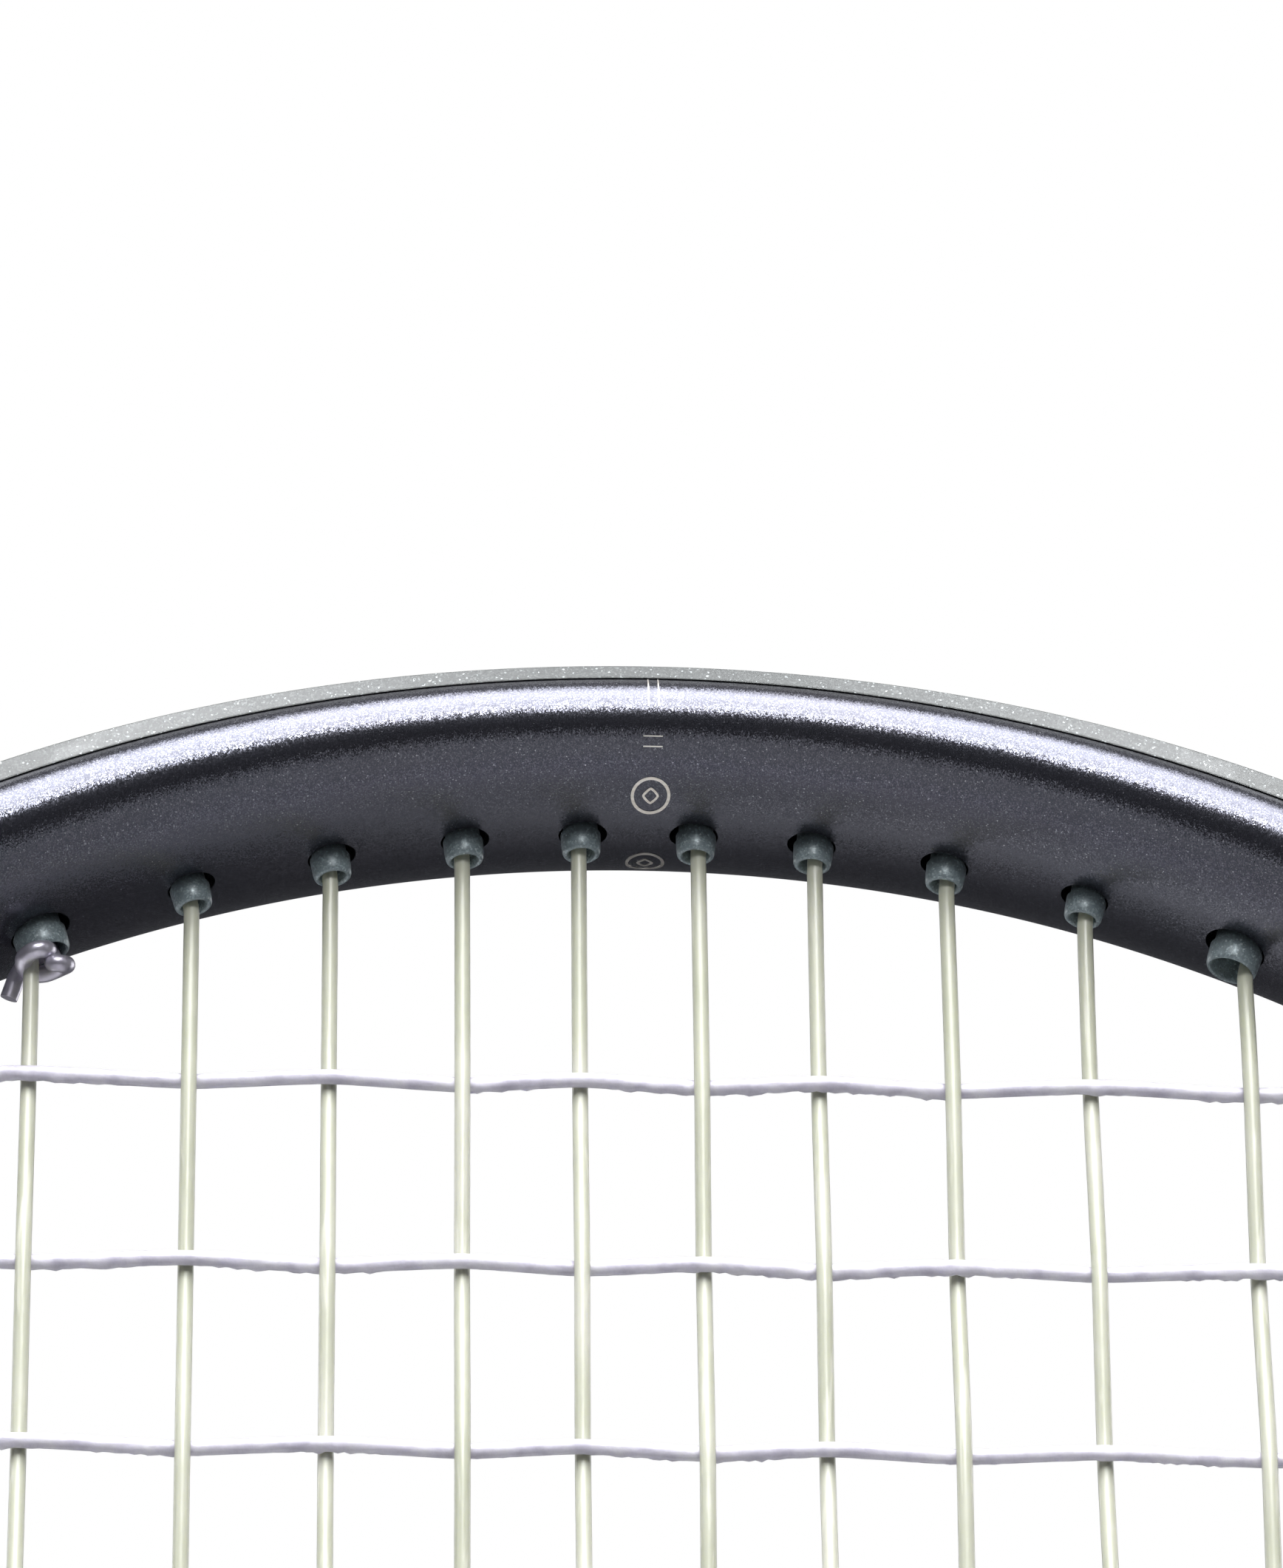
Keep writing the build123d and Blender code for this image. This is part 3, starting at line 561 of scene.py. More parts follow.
def arm_skin(side):
    """One throat arm and leg; its inner side squares off as the two legs meet."""
    rings = []
    for s in stations(GROOVE_END, HAIRPIN.length, 2.4):
        meet = smoothstep((LEGS_NEAR - HAIRPIN.at(s)[1]) / LEGS_JOINING)
        section = around_section(0.0, 72, inner=(INNER_RIM, INNER_POWER + 7.0 * meet))[:-1]
        points = [on_rail(HAIRPIN, s, *point) for point in section]
        rings.append([(side * max(x, 0.0), y, z) for x, y, z in points])
    return Build().grid(rings)


def bridge_skin():
    """The bridge across the throat, thicker towards the arms and no wider than the tube that it runs into."""
    middle = BRIDGE.length / 2
    end_radius = BRIDGE_PIECES[0][0]
    reach = middle - radians(5.0) * end_radius
    rim = BRIDGE_SHIFT + BRIDGE_HALF_RIM
    rings = []
    for s in stations(middle - reach, middle + reach, 1.5):
        away = abs(s - middle)
        apart = end_radius * (1.0 - cos((middle - away) / end_radius))
        outer = min(rim + BRIDGE_SWELL * smoothstep((away - 30.0) / 40.0), BRIDGE_INSET + apart)
        floor = outer - rim + BRIDGE_GROOVE_FLOOR
        half_rim, shift = (outer + HALF_RIM) / 2, (outer - HALF_RIM) / 2
        taper = 1.0 - 0.25 * smoothstep((away - reach + 12.0) / 12.0)
        section = groove_section(floor, half_rim, BRIDGE_HALF_BEAM * taper, (half_rim, RIM_POWER), shift)
        rings.append([on_rail(BRIDGE, s, *point) for point in section])
    return Build().grid(rings)


def side_point(barrel, side, distance, nearer=0.0):
    """A point on a barrel's axis, moved across it towards the racket's middle by its offset and `nearer`."""
    x, z = barrel.mouth + distance * barrel.direction
    along_x, along_z = barrel.direction
    if abs(along_z) < abs(along_x):
        return side * x, 0.0, z
    shift = nearer + (TIE_BARREL_OFFSET if barrel.tie else BARREL_OFFSET)
    return side * (x - shift * abs(along_z)), 0.0, z + shift * along_x * copysign(1.0, along_z)


def drill(thing, barrels):
    """Cut the barrels' string holes with a cutter that is dropped again."""
    build = Build()
    for barrel in barrels:
        radius = TIE_HOLE_RADIUS if barrel.tie else HOLE_RADIUS
        length = float(np.linalg.norm(barrel.outlet - barrel.mouth)) + HOLE_RUN_OUT
        for side in (-1, 1):
            low, high = [side_point(barrel, side, distance, HOLE_OFFSET) for distance in (0.0, length)]
            build.rod(low, high, radius, 40)
    cutter = new_object(thing.name + "_cutter", build)
    finish_mesh(cutter, 40)
    modifier = thing.modifiers.new("holes", "BOOLEAN")
    modifier.operation = "DIFFERENCE"
    modifier.solver = "EXACT"
    modifier.use_self = True
    modifier.object = cutter
    bpy.context.view_layer.update()
    cut = bpy.data.meshes.new_from_object(thing.evaluated_get(bpy.context.evaluated_depsgraph_get()))
    thing.modifiers.clear()
    thing.data = cut
    bpy.data.objects.remove(cutter)
    finish_mesh(thing, 38)


def make_frame():
    skin = add_piece("frame_skin", head_skin(), PAINT, "frame_hairpin")
    drill(skin, [b for b in TIP_BARRELS + THROAT_BARRELS + SIDE_BARRELS if b.path is HAIRPIN])
    for side, label in SIDES:
        add_piece("throat_arm_" + label, arm_skin(side), PAINT)
    web = add_piece("bridge_skin", bridge_skin(), PAINT, "throat_bridge")
    drill(web, THROAT_BARRELS[:MAIN_TIE + 1] + SIDE_BARRELS[-2:])


# ---- grommets and bumper guard

def barrel_profile(tie, length):
    """A grommet barrel's closed profile from its mouth: rounded lip, flared bore."""
    outer, bore, flare = (2.10, 1.60, 1.70) if tie else (1.55, 0.95, 1.08)
    return [
        (bore, length), (bore, 0.9), (bore + 0.04, 0.5), (flare - 0.02, 0.22), (flare + 0.06, 0.06),
        (flare + 0.17, 0.0), (outer - 0.20, 0.03), (outer - 0.07, 0.14), (outer, 0.32), (outer + 0.05, 0.8),
        (outer + 0.10, 1.9), (outer - 0.12, 2.3), (outer - 0.12, length),
    ]


def add_barrels(build, barrels, sides):
    for barrel in barrels:
        length = float(np.linalg.norm(barrel.top - barrel.mouth)) - 0.1
        profile = barrel_profile(barrel.tie, length)
        for side in sides:
            mouth, deep = [Vector(side_point(barrel, side, distance)) for distance in (0.0, length)]
            build.lathe(mouth, deep - mouth, profile, 40)


def guard_section(skin):
    """The bumper guard's section: two wings over the frame's shoulders and a channel for the strings."""
    def skin_point(grow, angle):
        c, s = cos(angle), sin(angle)
        return (c ** (2 / RIM_POWER) * (HALF_RIM + grow), s ** (2 / RIM_POWER) * (HALF_BEAM + grow))

    def shell(grow, start, end):
        return [skin_point(grow, angle) for angle in np.linspace(start, end, 12)]

    foot, brow, lip = radians(57.0), radians(47.5), radians(11.0)
    rim = [skin_point(0.10, foot + 0.008), skin_point(0.17, foot), skin_point(0.20, foot - 0.014),
           skin_point(skin - 0.05, brow + 0.008)]
    bottom, floor = GROOVE_FLOOR + 0.02, GROOVE_FLOOR + STRIP_THICKNESS
    wall = GROOVE_HALF_WIDTH - 0.62
    half = [(bottom, 0.0), (bottom, GROOVE_HALF_WIDTH - 0.1)] + shell(0.05, lip + 0.05, foot) + rim
    half += shell(skin, brow - 0.006, lip) + [(floor + 1.0, wall + 0.05), (floor, wall), (floor, 0.0)]
    return half + [(out, -front) for out, front in reversed(half[1:-1])]


def guard_thickness(station):
    """The guard is thinnest at the tip and thickens towards its ends."""
    away = abs(station) / BUMPER_STATION
    return (1.02 + 0.5 * smoothstep(away * 2.0)) * (1.0 - 0.55 * smoothstep((away - 0.93) / 0.07))


def make_grommets():
    guard = Build()
    rail = finer_stations(BUMPER_STATION, 2.0, 64.0, 1.0)
    guard.grid([[on_rail(HAIRPIN, s, *p) for p in guard_section(guard_thickness(s))] for s in rail])
    add_piece("bumper_guard_skin", guard, GUARD, "bumper_guard", 35)
    # painted light: the barrels and strips wear the guard's plastic painted lighter
    barrels = Build()
    add_barrels(barrels, TIP_BARRELS + SIDE_BARRELS[:GUARD_CROSSES], (-1, 1))
    add_piece("bumper_guard_barrels", barrels, BARREL_PAINTED_LIGHT, sharp=50)
    for side, label in SIDES:
        strip = Build()
        add_strip(strip, HAIRPIN, side, BUMPER_STATION + 0.6, GROOVE_END - 2.5, GROOVE_FLOOR)
        add_barrels(strip, SIDE_BARRELS[GUARD_CROSSES:] + THROAT_BARRELS[BRIDGE_MAINS:], (side,))
        add_piece("side_grommet_strip_" + label, strip, BARREL_PAINTED_LIGHT, "side_grommets_" + label, 50)
    throat = Build()
    middle = BRIDGE.length / 2
    reach = abs(THROAT_BARRELS[BRIDGE_MAINS - 1].station - middle) + 3
    add_strip(throat, BRIDGE, 1, middle - reach, middle + reach, BRIDGE_GROOVE_FLOOR)
    add_barrels(throat, THROAT_BARRELS[:BRIDGE_MAINS], (-1, 1))
    add_piece("throat_grommet_strip", throat, BARREL_PAINTED_LIGHT, "throat_grommets", 50)


def add_strip(build, path, side, start, end, floor):
    """A flat strip with rounded edges in the bottom of a string groove."""
    low, high = floor + 0.02, floor + STRIP_THICKNESS
    wide = GROOVE_HALF_WIDTH - 0.12
    half = [(low, wide), (high - 0.2, wide), (high - 0.05, wide - 0.1), (high, wide - 0.3)]
    section = [(low, -wide)] + half + [(out, -front) for out, front in reversed(half[1:])]
    rings = []
    for s in stations(start, end, 2.0):
        points = [on_rail(path, s, *point) for point in section]
        rings.append([(side * x, y, z) for x, y, z in points])
    build.grid(rings)


# ---- marks on the tip

def skin_place(station, turn, back=False, lift=0.0):
    """A point on the tip's skin; turn goes round the section from its outermost point, in degrees."""
    c, s = cos(radians(turn)), sin(radians(turn))
    rim, power = (HALF_RIM, RIM_POWER) if c > 0 else (INNER_RIM, INNER_POWER)
    out = copysign(abs(c) ** (2 / power), c) * (rim + lift)
    front = s ** (2 / power) * (HALF_BEAM + lift)
    return on_rail(HAIRPIN, station, out, -front if back else front)


def add_ribbon(build, line, half_width, back=False):
    """A raised foil line along (station, turn) points."""
    closed = line[0] == line[-1]
    if closed:
        line = line[:-1]
    rings = []
    for i, (s, turn) in enumerate(line):
        before = line[i - 1] if closed or i else line[i]
        after = line[(i + 1) % len(line)] if closed or i + 1 < len(line) else line[i]
        ds, dt = after[0] - before[0], (after[1] - before[1]) * MARK_SCALE
        size = hypot(ds, dt) or 1.0
        ns, nt = -dt / size * half_width, ds / size * half_width / MARK_SCALE
        corners = ((1, 0.035), (-1, 0.035), (-1, -0.03), (1, -0.03))
        rings.append([skin_place(s + side * ns, turn + side * nt, back, lift) for side, lift in corners])
    build.grid(rings, closed=closed)


def rounded_mark(across, along, power, count):
    """A closed outline on the tip: a ring at power 1, and a diamond with hollow sides above that."""
    outline = []
    for angle in np.linspace(0, 2 * pi, count + 1)[:-1]:
        c, s = cos(angle), sin(angle)
        outline.append((MARK_X + across * copysign(abs(c) ** power, c),
                        MARK_TURN + along * copysign(abs(s) ** power, s)))
    return outline + outline[:1]


def make_marks():
    """A plain ring with a diamond, on the tip's front and back, and the fine lines at its top."""
    build = Build()
    for back in (False, True):
        add_ribbon(build, rounded_mark(1.55, 11.0, 1.0, 48), 0.13, back)
        add_ribbon(build, rounded_mark(0.62, 4.6, 1.6, 24), 0.10, back)
    for shift in (-0.4, 0.4):
        add_ribbon(build, [(MARK_X + shift, turn) for turn in range(60, 94, 3)], 0.05)
    for turn in (115.5, 122.5):
        add_ribbon(build, [(MARK_X + across, turn) for across in np.linspace(-0.8, 0.8, 5)], 0.06)
    add_piece("tip_marks", build, MARK, sharp=60)


# ---- strings

def smooth_line(points, step_of, soften):
    """Resample a line evenly and round its corners."""
    points = np.array(points, float)
    lengths = np.r_[0.0, np.cumsum(np.linalg.norm(np.diff(points, axis=0), axis=1))]
    fine = 0.25
    grid = np.arange(0.0, lengths[-1], fine)
    line = np.column_stack([np.interp(grid, lengths, points[:, k]) for k in range(3)])
    reach = int(4 * soften / fine)
    weights = np.exp(-0.5 * (np.arange(-reach, reach + 1) * fine / soften) ** 2)
    weights /= weights.sum()
    padded = np.vstack([np.repeat(line[:1], reach, axis=0), line, np.repeat(line[-1:], reach, axis=0)])
    line = np.column_stack([np.convolve(padded[:, k], weights, "valid") for k in range(3)])
    kept = [0]
    travelled = 0.0
    for i in range(1, len(line)):
        travelled += fine
        if travelled >= step_of(line[i]):
            kept.append(i)
            travelled = 0.0
    return line[kept]


def tube(line, radius_of, sides):
    """A round tube along a line, with a frame carried along it."""
    tangents = np.gradient(line, axis=0)
    tangents /= np.linalg.norm(tangents, axis=1)[:, None]
    turns = [2 * pi * k / sides for k in range(sides)]
    across = np.cross(tangents[0], (0.0, 1.0, 0.0))
    rings = []
    for point, tangent in zip(line, tangents):
        across = across - tangent * np.dot(across, tangent)
        across /= np.linalg.norm(across)
        up = np.cross(tangent, across)
        ring = []
        for angle in turns:
            out = across * cos(angle) + up * sin(angle)
            ring.append(tuple(point + out * radius_of(point, out)))
        rings.append(ring)
    return Build().grid(rings)


def weave_wave(share):
    """A rounded zigzag: 1 at whole even numbers and -1 at odd ones."""
    depth = 0.94
    return asin(depth * cos(pi * share)) / asin(depth)


def woven_run(start, end, crossings, first_sign, axis, depth):
    """Points of one straight run between two mouths, weaving past the other strings."""
    start, end = np.array(start, float), np.array(end, float)
    span = end[axis] - start[axis]
    signs = {place: first_sign * (-1) ** i for i, place in enumerate(sorted(crossings))}
    places = sorted(crossings, reverse=span < 0)
    knots = [start[axis]] + places + [end[axis]]
    count = int(abs(span) / WEAVE_STEP)
    points = []
    for i in range(1, count):
        point = start + (end - start) * i / count
        value = point[axis]
        if min(abs(value - start[axis]), abs(value - end[axis])) < STRAIGHT_END:
            continue
        passed = sum((value - place) * span > 0 for place in places)
        part = (value - knots[passed]) / (knots[passed + 1] - knots[passed])
        if passed == 0:
            y = signs[places[0]] * sin(part * pi / 2)
        elif passed == len(places):
            y = signs[places[-1]] * cos(part * pi / 2)
        else:
            y = signs[places[passed - 1]] * weave_wave(part)
        points.append((point[0], y * depth, point[2]))
    return points


def lane_point(barrel, side, lane):
    return side * barrel.outlet[0], lane, barrel.outlet[1]


def mouth_point(barrel, side):
    return side * barrel.mouth[0], 0.0, barrel.mouth[1]


def through(barrel, side, lane):
    """From the groove into the head."""
    outer_x, outer_z = barrel.outlet - 1.6 * barrel.direction
    inner_x, inner_z = barrel.mouth + 2.0 * barrel.direction
    return [lane_point(barrel, side, lane), (side * outer_x, lane * 0.6, outer_z),
            (side * inner_x, 0.0, inner_z), mouth_point(barrel, side)]


def to_knot(barrel, side):
    """From the groove to the knot at a tie barrel's mouth."""
    x, z = side * barrel.mouth[0], barrel.mouth[1]
    return [lane_point(barrel, side, LANE), (x, LANE, z), (x, LANE * 1.2, z + 1.2)]


def groove_run(first, last, side, lane):
    path = first.path
    start, end = first.station, last.station
    if path is BRIDGE:
        start, end = path.length - start, path.length - end
    points = []
    for s in stations(min(start, end), max(start, end), 6.0)[1:-1]:
        x, z, _ = path.at(s, first.floor + STRING_HEIGHT)
        points.append((side * abs(x), lane, z))
    if end < start:
        points.reverse()
    return points


def main_sign(column, row):
    """Front (-1) or back (+1) side on which a main passes a cross; columns and rows count from 1."""
    return -1 if (column + row) % 2 == 0 else 1


def column_of(number, side):
    return 9 + number if side > 0 else 8 - number


def main_line():
    """The main string's whole line, from its left end knot to its right one."""
    half = {}
    for side in (-1, 1):
        points = []
        for number in range(len(MAIN_X)):
            ends = (THROAT_BARRELS, TIP_BARRELS) if number % 2 == 0 else (TIP_BARRELS, THROAT_BARRELS)
            first, last = ends[0][number], ends[1][number]
            lowest_sign = main_sign(column_of(number, side), len(CROSS_Z))
            start, end = mouth_point(first, side), mouth_point(last, side)
            points += through(first, side, -LANE)
            points += woven_run(start, end, CROSS_Z, lowest_sign, 2, MAIN_WEAVE)
            points += reversed(through(last, side, -LANE))
            if number + 1 < len(MAIN_X):
                points += groove_run(last, ends[1][number + 1], side, -LANE)
        points.append(lane_point(SIDE_BARRELS[-2], side, -LANE))
        half[side] = points + to_knot(THROAT_BARRELS[MAIN_TIE], side)
    return list(reversed(half[-1])) + half[1]


def cross_line():
    """The cross string's whole line, from its start knot at the tip to its end knot at the throat."""
    tie = TIP_BARRELS[START_TIE]
    x, z = -tie.mouth[0], tie.mouth[1]
    points = [(x + 0.5, 0.0, z + 2.2), (x + 0.3, 0.4, z + 4.2), lane_point(tie, -1, LANE)]
    points += groove_run(tie, SIDE_BARRELS[0], -1, LANE)
    columns = [side * x for side in (-1, 1) for x in MAIN_X]
    for row, barrel in enumerate(SIDE_BARRELS, 1):
        side = -1 if row % 2 else 1
        start, end = mouth_point(barrel, side), mouth_point(barrel, -side)
        points += through(barrel, side, LANE)
        points += woven_run(start, end, columns, -main_sign(1, row), 0, CROSS_WEAVE)
        points += reversed(through(barrel, -side, LANE))
        if row + 1 < len(SIDE_BARRELS):
            points += groove_run(barrel, SIDE_BARRELS[row], -side, LANE)
        elif row + 1 == len(SIDE_BARRELS):
            for shift in (-3.0, 3.0):
                x, z, _ = HAIRPIN.at(THROAT_BARRELS[MAIN_TIE].station + shift, GROOVE_FLOOR + STRING_HEIGHT)
                points.append((-side * x, OUTER_LANE, z))
    return points + to_knot(THROAT_BARRELS[END_TIE], 1)


def fine_at_tip(coarse, fine, below=595.0):
    return lambda point: fine if point[2] > below else coarse


def lumpy(radius, all_round, underside):
    """Radius with seeded unevenness: slight all round, drops on the underside in patches."""
    def value(point, out):
        place = Vector(point + out * radius)
        even = noise.noise(place * 0.8)
        patch = smoothstep(2.2 * noise.noise(place * 0.11 + Vector((3, 8, 1))) + 0.6)
        drops = max(0.0, noise.noise(place * 1.5 + Vector((7, 1, 3))) + 0.12)
        return radius + all_round * even + underside * patch * drops * max(0.0, -out[2])
    return value


def make_strings():
    line = smooth_line(main_line(), fine_at_tip(1.5, 0.75), 0.55)
    gut = tube(line, lumpy(MAIN_RADIUS, 0.012, 0.0), 14)
    add_piece("main_string_gut", gut, GUT, "main_string", 70)
    line = smooth_line(cross_line(), fine_at_tip(1.3, 0.5), 0.55)
    pearl = tube(line, lumpy(CROSS_RADIUS - 0.02, 0.012, 0.34), 14)
    add_piece("cross_string_pearl", pearl, PEARL, "cross_string", 70)


KNOT_TILT = radians(31.0)
KNOT_TURNS = [  # across the string, along it and towards the front, in axes tilted by KNOT_TILT
    (0.10, 2.40, -1.40), (0.75, 1.40, -0.85), (1.25, 0.60, -0.20), (1.35, 0.20, 0.60),
    (1.25, 0.12, 1.15), (1.65, 0.10, 1.38), (2.15, 0.02, 1.10), (2.48, -0.05, 0.25),
    (2.10, -0.20, -0.65), (1.35, -0.55, -1.10), (0.65, -0.85, -1.38), (-0.05, -0.90, -1.45),
    (-0.75, -0.70, -1.00), (-1.10, -0.05, 0.10), (-0.98, 0.55, 0.98), (-0.38, 1.05, 1.55),
    (0.28, 1.25, 1.62), (0.85, 1.22, 1.00), (0.90, 1.05, -0.2), (0.45, 0.75, -1.45),
    (-0.40, 0.35, -1.98), (-1.15, -0.30, -1.95), (-1.65, -1.15, -1.70), (-1.98, -2.10, -1.40),
    (-2.35, -3.15, -1.10),
]


def make_knot(name, barrel, side, up, material, node, radius):
    """One knot at a barrel's mouth, mirrored and turned over as needed."""
    origin = np.array((side * (barrel.mouth[0] - 0.43), 0.0, barrel.mouth[1] + up * 0.5))
    sine, cosine = sin(KNOT_TILT), cos(KNOT_TILT)
    points = []
    for across, along, front in KNOT_TURNS:
        y = -sine * along - cosine * front
        z = cosine * along - sine * front
        points.append(origin + np.array((-side * across, y, -up * z)))
    line = smooth_line(points, lambda point: 0.18, 0.26)
    add_piece(name, tube(line, lumpy(radius, 0.03, 0.0), 18), material, node, 70)


def make_knots():
    # painted shade: the cross string's knots take its skin painted darker
    make_knot("start_knot", TIP_BARRELS[START_TIE], -1, -1, KNOT_PAINTED_SHADE, "cross_start_knot", 0.73)
    make_knot("end_knot", THROAT_BARRELS[END_TIE], 1, 1, KNOT_PAINTED_SHADE, "cross_end_knot", 0.73)
    for side, label in reversed(SIDES):
        name, node = "gut_knot_" + label, "main_knot_" + label
        make_knot(name, THROAT_BARRELS[MAIN_TIE], side, 1, GUT, node, 0.62)


# ---- handle

# Octagons as (width across X, width across Y, bevel)
CAP_SKIRT = (29.4, 25.6, 7.6)
CAP_RIM = (37.0, 33.0, 9.6)
DOOR = (17.0, 11.0, 4.4)
BEVEL_GROWTH = 2 * tan(radians(22.5))  # wider bevel for each millimetre that an octagon grows
HANDLE_ROUND = 0.16  # share of the shorter side next to a corner that its rounding takes
RIM_ROUND = 0.22


def octagon_ring(size, grow, z, round_share=HANDLE_ROUND, per_side=6):
    """The handle's rounded eight-sided outline at a height, anticlockwise."""
    x, y = size[0] / 2 + grow, size[1] / 2 + grow
    cut = (size[2] + grow * BEVEL_GROWTH) * sqrt(0.5)
    corners = [Vector(corner) for corner in (
        (x, -y + cut), (x, y - cut), (x - cut, y), (-x + cut, y),
        (-x, y - cut), (-x, -y + cut), (-x + cut, -y), (x - cut, -y))]
    bends = []
    for i, here in enumerate(corners):
        back, ahead = corners[i - 1] - here, corners[(i + 1) % 8] - here
        arm = round_share * min(back.length, ahead.length)
        bends.append((here + back.normalized() * arm, here, here + ahead.normalized() * arm))
    ring = []
    for i, (start, here, end) in enumerate(bends):
        shares = [k / (per_side - 1) for k in range(per_side)]
        ring += [start * (1 - t) ** 2 + here * 2 * t * (1 - t) + end * t ** 2 for t in shares]
        ring += [end.lerp(bends[(i + 1) % 8][0], k / per_side) for k in range(1, per_side)]
    return [(p.x, p.y, z) for p in ring]


def door_ring(grow, z):
    """The trapdoor's outline, grown all round, at a height above the butt."""
    wide, tall = 1 + 2 * grow / DOOR[0], 1 + 2 * grow / DOOR[1]
    return [(x * wide, y * tall, z) for x, y, z in octagon_ring(DOOR, 0.0, BUTT + z, 0.3)]


def moved_out(point, distance):
    """A point of the handle's outline, moved away from the handle's axis."""
    x, y, z = point
    out = Vector((x, y)).normalized() * distance
    return x + out.x, y + out.y, z


def height_range(node):
    low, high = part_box(node)
    return low.z / MM, high.z / MM


def make_grip():
    """A leather strip wound up the handle, each turn lapping the one below."""
    low, high = height_range("base_grip")
    thickness, pitch, lap, seam_depth, seam_width = 1.57, 23.0, 0.14, 0.42, 0.022
    rings = []
    for z in stations(low, high, 0.8):
        edge = sqrt(min(1.0, (min(z - low, high - z) + 0.25) / 1.2))
        ring = []
        for point in octagon_ring(CAP_SKIRT, 0.0, z):
            phase = (z / pitch - atan2(point[1], point[0]) / (2 * pi)) % 1.0
            seam = seam_depth * sum(exp(-((phase - place) / seam_width) ** 2) for place in (0.02, 1.02))
            ring.append(moved_out(point, edge * (thickness - seam + 0.16 * smoothstep((lap - phase) / lap))))
        rings.append(ring)
    add_piece("leather_grip", Build().grid(rings), LEATHER, "base_grip", 70)


def make_cap():
    """The butt cap: a flared, rounded cup with a recessed door window."""
    foot = ((-1.6, 0.0), (-0.55, 0.12), (-0.12, 0.55), (0.0, 1.3), (0.0, 4.0))
    rings = [octagon_ring(CAP_RIM, grow, BUTT + z, RIM_ROUND) for grow, z in foot]
    for share in np.linspace(0.1, 1.0, 10):
        ease = smoothstep(share)
        size = [rim + (skirt - rim) * ease for rim, skirt in zip(CAP_RIM, CAP_SKIRT)]
        corner = RIM_ROUND + (HANDLE_ROUND - RIM_ROUND) * ease
        rings.append(octagon_ring(size, 0.0, BUTT + 4.0 + 8.4 * share, corner))
    rings += [octagon_ring(CAP_SKIRT, 0.0, BUTT + z) for z in (20.0, 30.0, 39.9)]
    rings += [octagon_ring(CAP_SKIRT, -0.9, BUTT + z) for z in (39.9, 20.0, 3.2)]
    window = ((0.0, 3.2), (0.0, 1.25), (1.15, 1.2), (1.2, 0.15), (1.35, 0.0))
    rings += [door_ring(grow, z) for grow, z in window]
    add_piece("butt_cap_shell", Build().grid(rings, closed=True), CAP, "butt_cap", 50)


def make_door():
    """The trapdoor: a rounded plate with a shallow field in its face, and the plug behind it."""
    profile = [(-3.2, 0.30), (-0.8, 0.25), (-0.5, 0.02), (0.6, 0.02), (0.85, 0.06),
               (0.98, 0.22), (0.95, 0.98), (-0.32, 1.0), (-0.35, 2.75), (-3.2, 2.7)]
    plate = Build().grid([door_ring(grow, z) for grow, z in profile])
    add_piece("trapdoor_plate", plate, CAP, "butt_trapdoor", 50, "trapdoor")


def make_collar():
    """The rubber collar: a soft band with two beads, closing on the shaft."""
    low, high = height_range("grip_collar")
    outside = [(3.05, 0.0), (3.45, 0.25), (3.62, 0.9), (3.55, 1.6), (3.30, 2.2), (3.30, 3.4), (3.55, 4.0),
               (3.62, 4.7), (3.55, 5.4), (3.30, 6.0), (3.30, 14.0), (3.15, 16.2), (2.6, 18.2), (1.7, 19.9),
               (0.9, 20.7), (0.2, 20.95)]
    inside = [(-0.9, 20.6), (-1.2, 13.2), (1.9, 12.2), (2.38, 11.8), (2.38, 0.2)]
    stretch = (high - low) / 21.0
    rings = [octagon_ring(CAP_SKIRT, grow, low + z * stretch, 0.2) for grow, z in outside + inside]
    band = Build().grid(rings, closed=True)
    add_piece("rubber_collar", band, RUBBER, "grip_collar", 60, "collar")


def make_tape():
    """Finishing tape: a thin band round the grip's top, with its lapped end."""
    low, high = height_range("finishing_tape")
    edge = [(1.62, 0.0), (1.9, 0.05), (1.98, 0.3)]
    profile = edge + [(grow, high - low - z) for grow, z in reversed(edge)]
    rings = []
    for grow, z in profile:
        ring = []
        for point in octagon_ring(CAP_SKIRT, grow, low + z):
            lapped = grow > 1.8 and 0 < atan2(point[1], point[0]) < 0.5
            ring.append(moved_out(point, 0.12 if lapped else 0.0))
        rings.append(ring)
    add_piece("tape_band", Build().grid(rings, closed=True), TAPE, "finishing_tape", 50)


# ---- dampener

NEARLY_Y = (0.0, 1.0, 0.00001)  # the dampener's axis


def make_dampener():
    """A soft round button that grips the two middle mains, with a domed face and a disc."""
    low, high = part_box("dampener_body")
    centre = (low + high) / 2 / MM
    radius, depth = (high.x - low.x) / 2 / MM, (high.y - low.y) / 2 / MM
    bend = 1.5
    ring, level = radius - bend, depth - bend
    profile = [(0.001, -depth + 1.25), (6.1, -depth + 1.25), (6.25, -depth + 1.1), (6.3, -depth + 0.25),
               (6.5, -depth + 0.06), (6.8, -depth)]
    profile += [(ring + bend * sin(a), -level - bend * cos(a)) for a in np.linspace(0.15, 1.57, 8)]
    profile += [(radius, -1.5), (radius - 0.5, -1.05), (radius - 1.6, -0.9), (radius - 1.6, 0.9),
                (radius - 0.5, 1.05), (radius, 1.5)]
    profile += [(ring + bend * cos(a), level + bend * sin(a)) for a in np.linspace(0.0, 1.5, 8)]
    profile += [(5.0, depth), (0.001, depth - 0.12)]
    button = Build().lathe(centre, NEARLY_Y, profile, 64)
    add_piece("dampener_button", button, SOFT, "dampener_body", 50, "dampener")
    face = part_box("dampener_disc")[0].y / MM
    profile = [(0.001, 1.1), (6.0, 1.1), (6.12, 0.95), (6.15, 0.25), (6.0, 0.06), (5.7, 0.0), (4.9, 0.0),
               (4.7, 0.18), (4.3, 0.22), (4.1, 0.06), (3.6, 0.0), (0.001, 0.03)]
    disc = Build().lathe((centre.x, face, centre.z), NEARLY_Y, profile, 64)
    add_piece("dampener_face", disc, DISC, "dampener_disc", 50, "dampener")


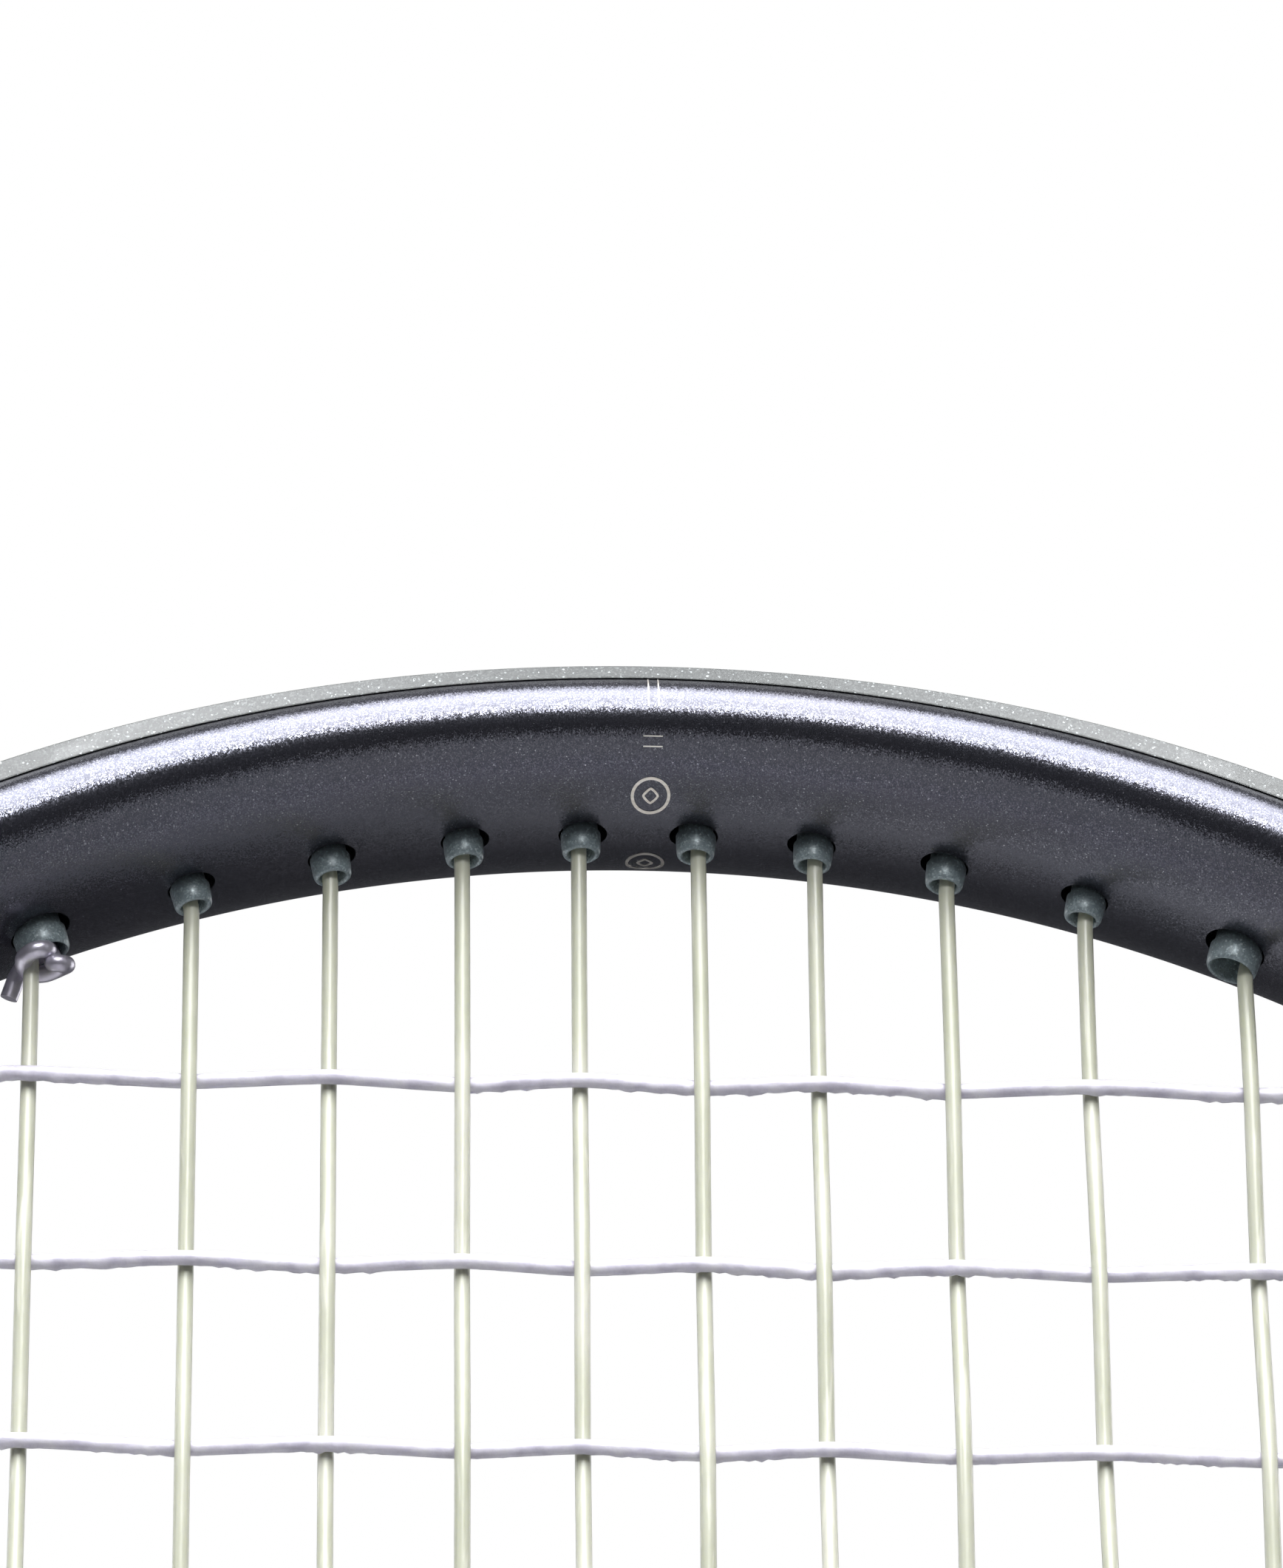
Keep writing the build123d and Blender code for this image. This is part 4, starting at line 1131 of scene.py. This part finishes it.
def dress_cad_nodes():
    """Better materials for the CAD pieces that stay as they are."""
    kept = {"handle_pallet_front": FOAM, "handle_pallet_back": FOAM, "butt_cap_staples": STEEL}
    for node, material in kept.items():
        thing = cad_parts[node]
        thing.data.materials.clear()
        thing.data.materials.append(material)


# ---- stage, lights and camera

def make_floor():
    """A pale round floor under the butt."""
    radius, count = 700.0, 96
    build = Build()
    turns = [2 * pi * i / count for i in range(count)]
    build.points = [(radius * cos(t), radius * sin(t), 0) for t in turns]
    build.faces = [tuple(range(count))]
    thing = new_object("floor", build)
    thing.location.z = -0.002
    pale = Nodes("floor_pale", Roughness=0.7)
    color = pale.cloudy(3.0, 2.0, (0.50, 0.50, 0.50), (0.53, 0.53, 0.53))
    thing.data.materials.append(pale.finished(color))


def make_world():
    """A dim sky that the camera sees as white."""
    world = bpy.data.worlds.new("pale_world")
    bpy.context.scene.world = world
    world.use_nodes = True
    tree = world.node_tree
    sky = tree.nodes["Background"]
    sky.inputs["Color"].default_value = (0.90, 0.92, 1.0, 1.0)
    sky.inputs["Strength"].default_value = 0.09
    seen = tree.nodes.new("ShaderNodeBackground")
    seen.inputs["Color"].default_value = (*WHITE, 1.0)
    choice = tree.nodes.new("ShaderNodeMixShader")
    rays = tree.nodes.new("ShaderNodeLightPath")
    for i, output in enumerate((rays.outputs["Is Camera Ray"], sky.outputs[0], seen.outputs[0])):
        tree.links.new(output, choice.inputs[i])
    tree.links.new(choice.outputs[0], tree.nodes["World Output"].inputs["Surface"])


def area_light(name, place, size, power, color=(1, 1, 1), spread=180.0):
    """A rectangle of light, in metres and watts, that faces the tip and that the camera doesn't see."""
    data = bpy.data.lights.new(name, "AREA")
    data.shape = "RECTANGLE"
    data.size, data.size_y = size
    data.energy = power
    data.color = color
    data.spread = radians(spread)
    thing = linked_object(name, data)
    thing.location = place
    thing.visible_camera = False
    tip = Vector((0.0, 0.0, HALF_HEAD * MM))
    thing.rotation_euler = (tip - Vector(place)).to_track_quat("-Z", "Y").to_euler()


def make_lights():
    area_light("front_key", (0.0, -0.92, 1.83), (1.5, 1.6), 19.0, (0.98, 0.98, 1.0), 80.0)
    area_light("top_strip", (0.0, 0.12, 1.02), (1.0, 0.14), 0.25)
    area_light("front_panel", (0.0, -1.7, 1.31), (1.1, 0.18), 4.6)
    area_light("front_strip", (0.1, -1.5, 1.20), (0.2, 0.20), 5.5)
    area_light("low_back", (-0.7, 0.75, 0.12), (0.8, 0.4), 1.4)
    area_light("under_back", (-0.3, 0.50, 0.04), (1.2, 0.35), 0.7)
    area_light("left_fill", (-1.5, -0.8, 1.20), (0.5, 0.6), 3.2, (0.95, 0.97, 1.0))
    area_light("right_fill", (1.5, -0.8, 1.20), (0.5, 0.6), 0.8)
    for side, label in reversed(SIDES):
        area_light("rear_" + label, (side * 1.6, 1.3, 1.2), (0.8, 1.2), 8.0)


def make_camera():
    """The photograph's viewpoint: in front of the head and about 31 degrees below its tip, looking up."""
    rise, yaw, roll = radians(31.18), radians(2.91), radians(-0.666)
    distance = 770.2
    aim = Vector((0.317, 0.0, HEAD_INSIDE_TOP + 4.588))
    look = Vector((sin(yaw) * cos(rise), cos(yaw) * cos(rise), sin(rise)))
    right = Vector((cos(yaw), -sin(yaw), 0.0))
    up = right.cross(look)
    turned_right = right * cos(roll) + up * sin(roll)
    turned_up = -right * sin(roll) + up * cos(roll)
    data = bpy.data.cameras.new("photo_camera")
    data.sensor_width, data.lens = 36.0, 215.6775  # over the picture's long side
    data.clip_start, data.clip_end = 0.01, 50.0
    camera = linked_object("photo_camera", data)
    basis = Matrix((turned_right, turned_up, -look)).transposed().to_4x4()
    camera.matrix_world = Matrix.Translation((aim - look * distance) * MM) @ basis
    bpy.context.scene.camera = camera


make_floor()
make_world()
make_camera()
make_lights()
make_frame()
make_marks()
make_grommets()
make_strings()
make_knots()
make_grip()
make_cap()
make_door()
make_collar()
make_tape()
make_dampener()
dress_cad_nodes()
bpy.context.scene.view_settings.view_transform = "Standard"
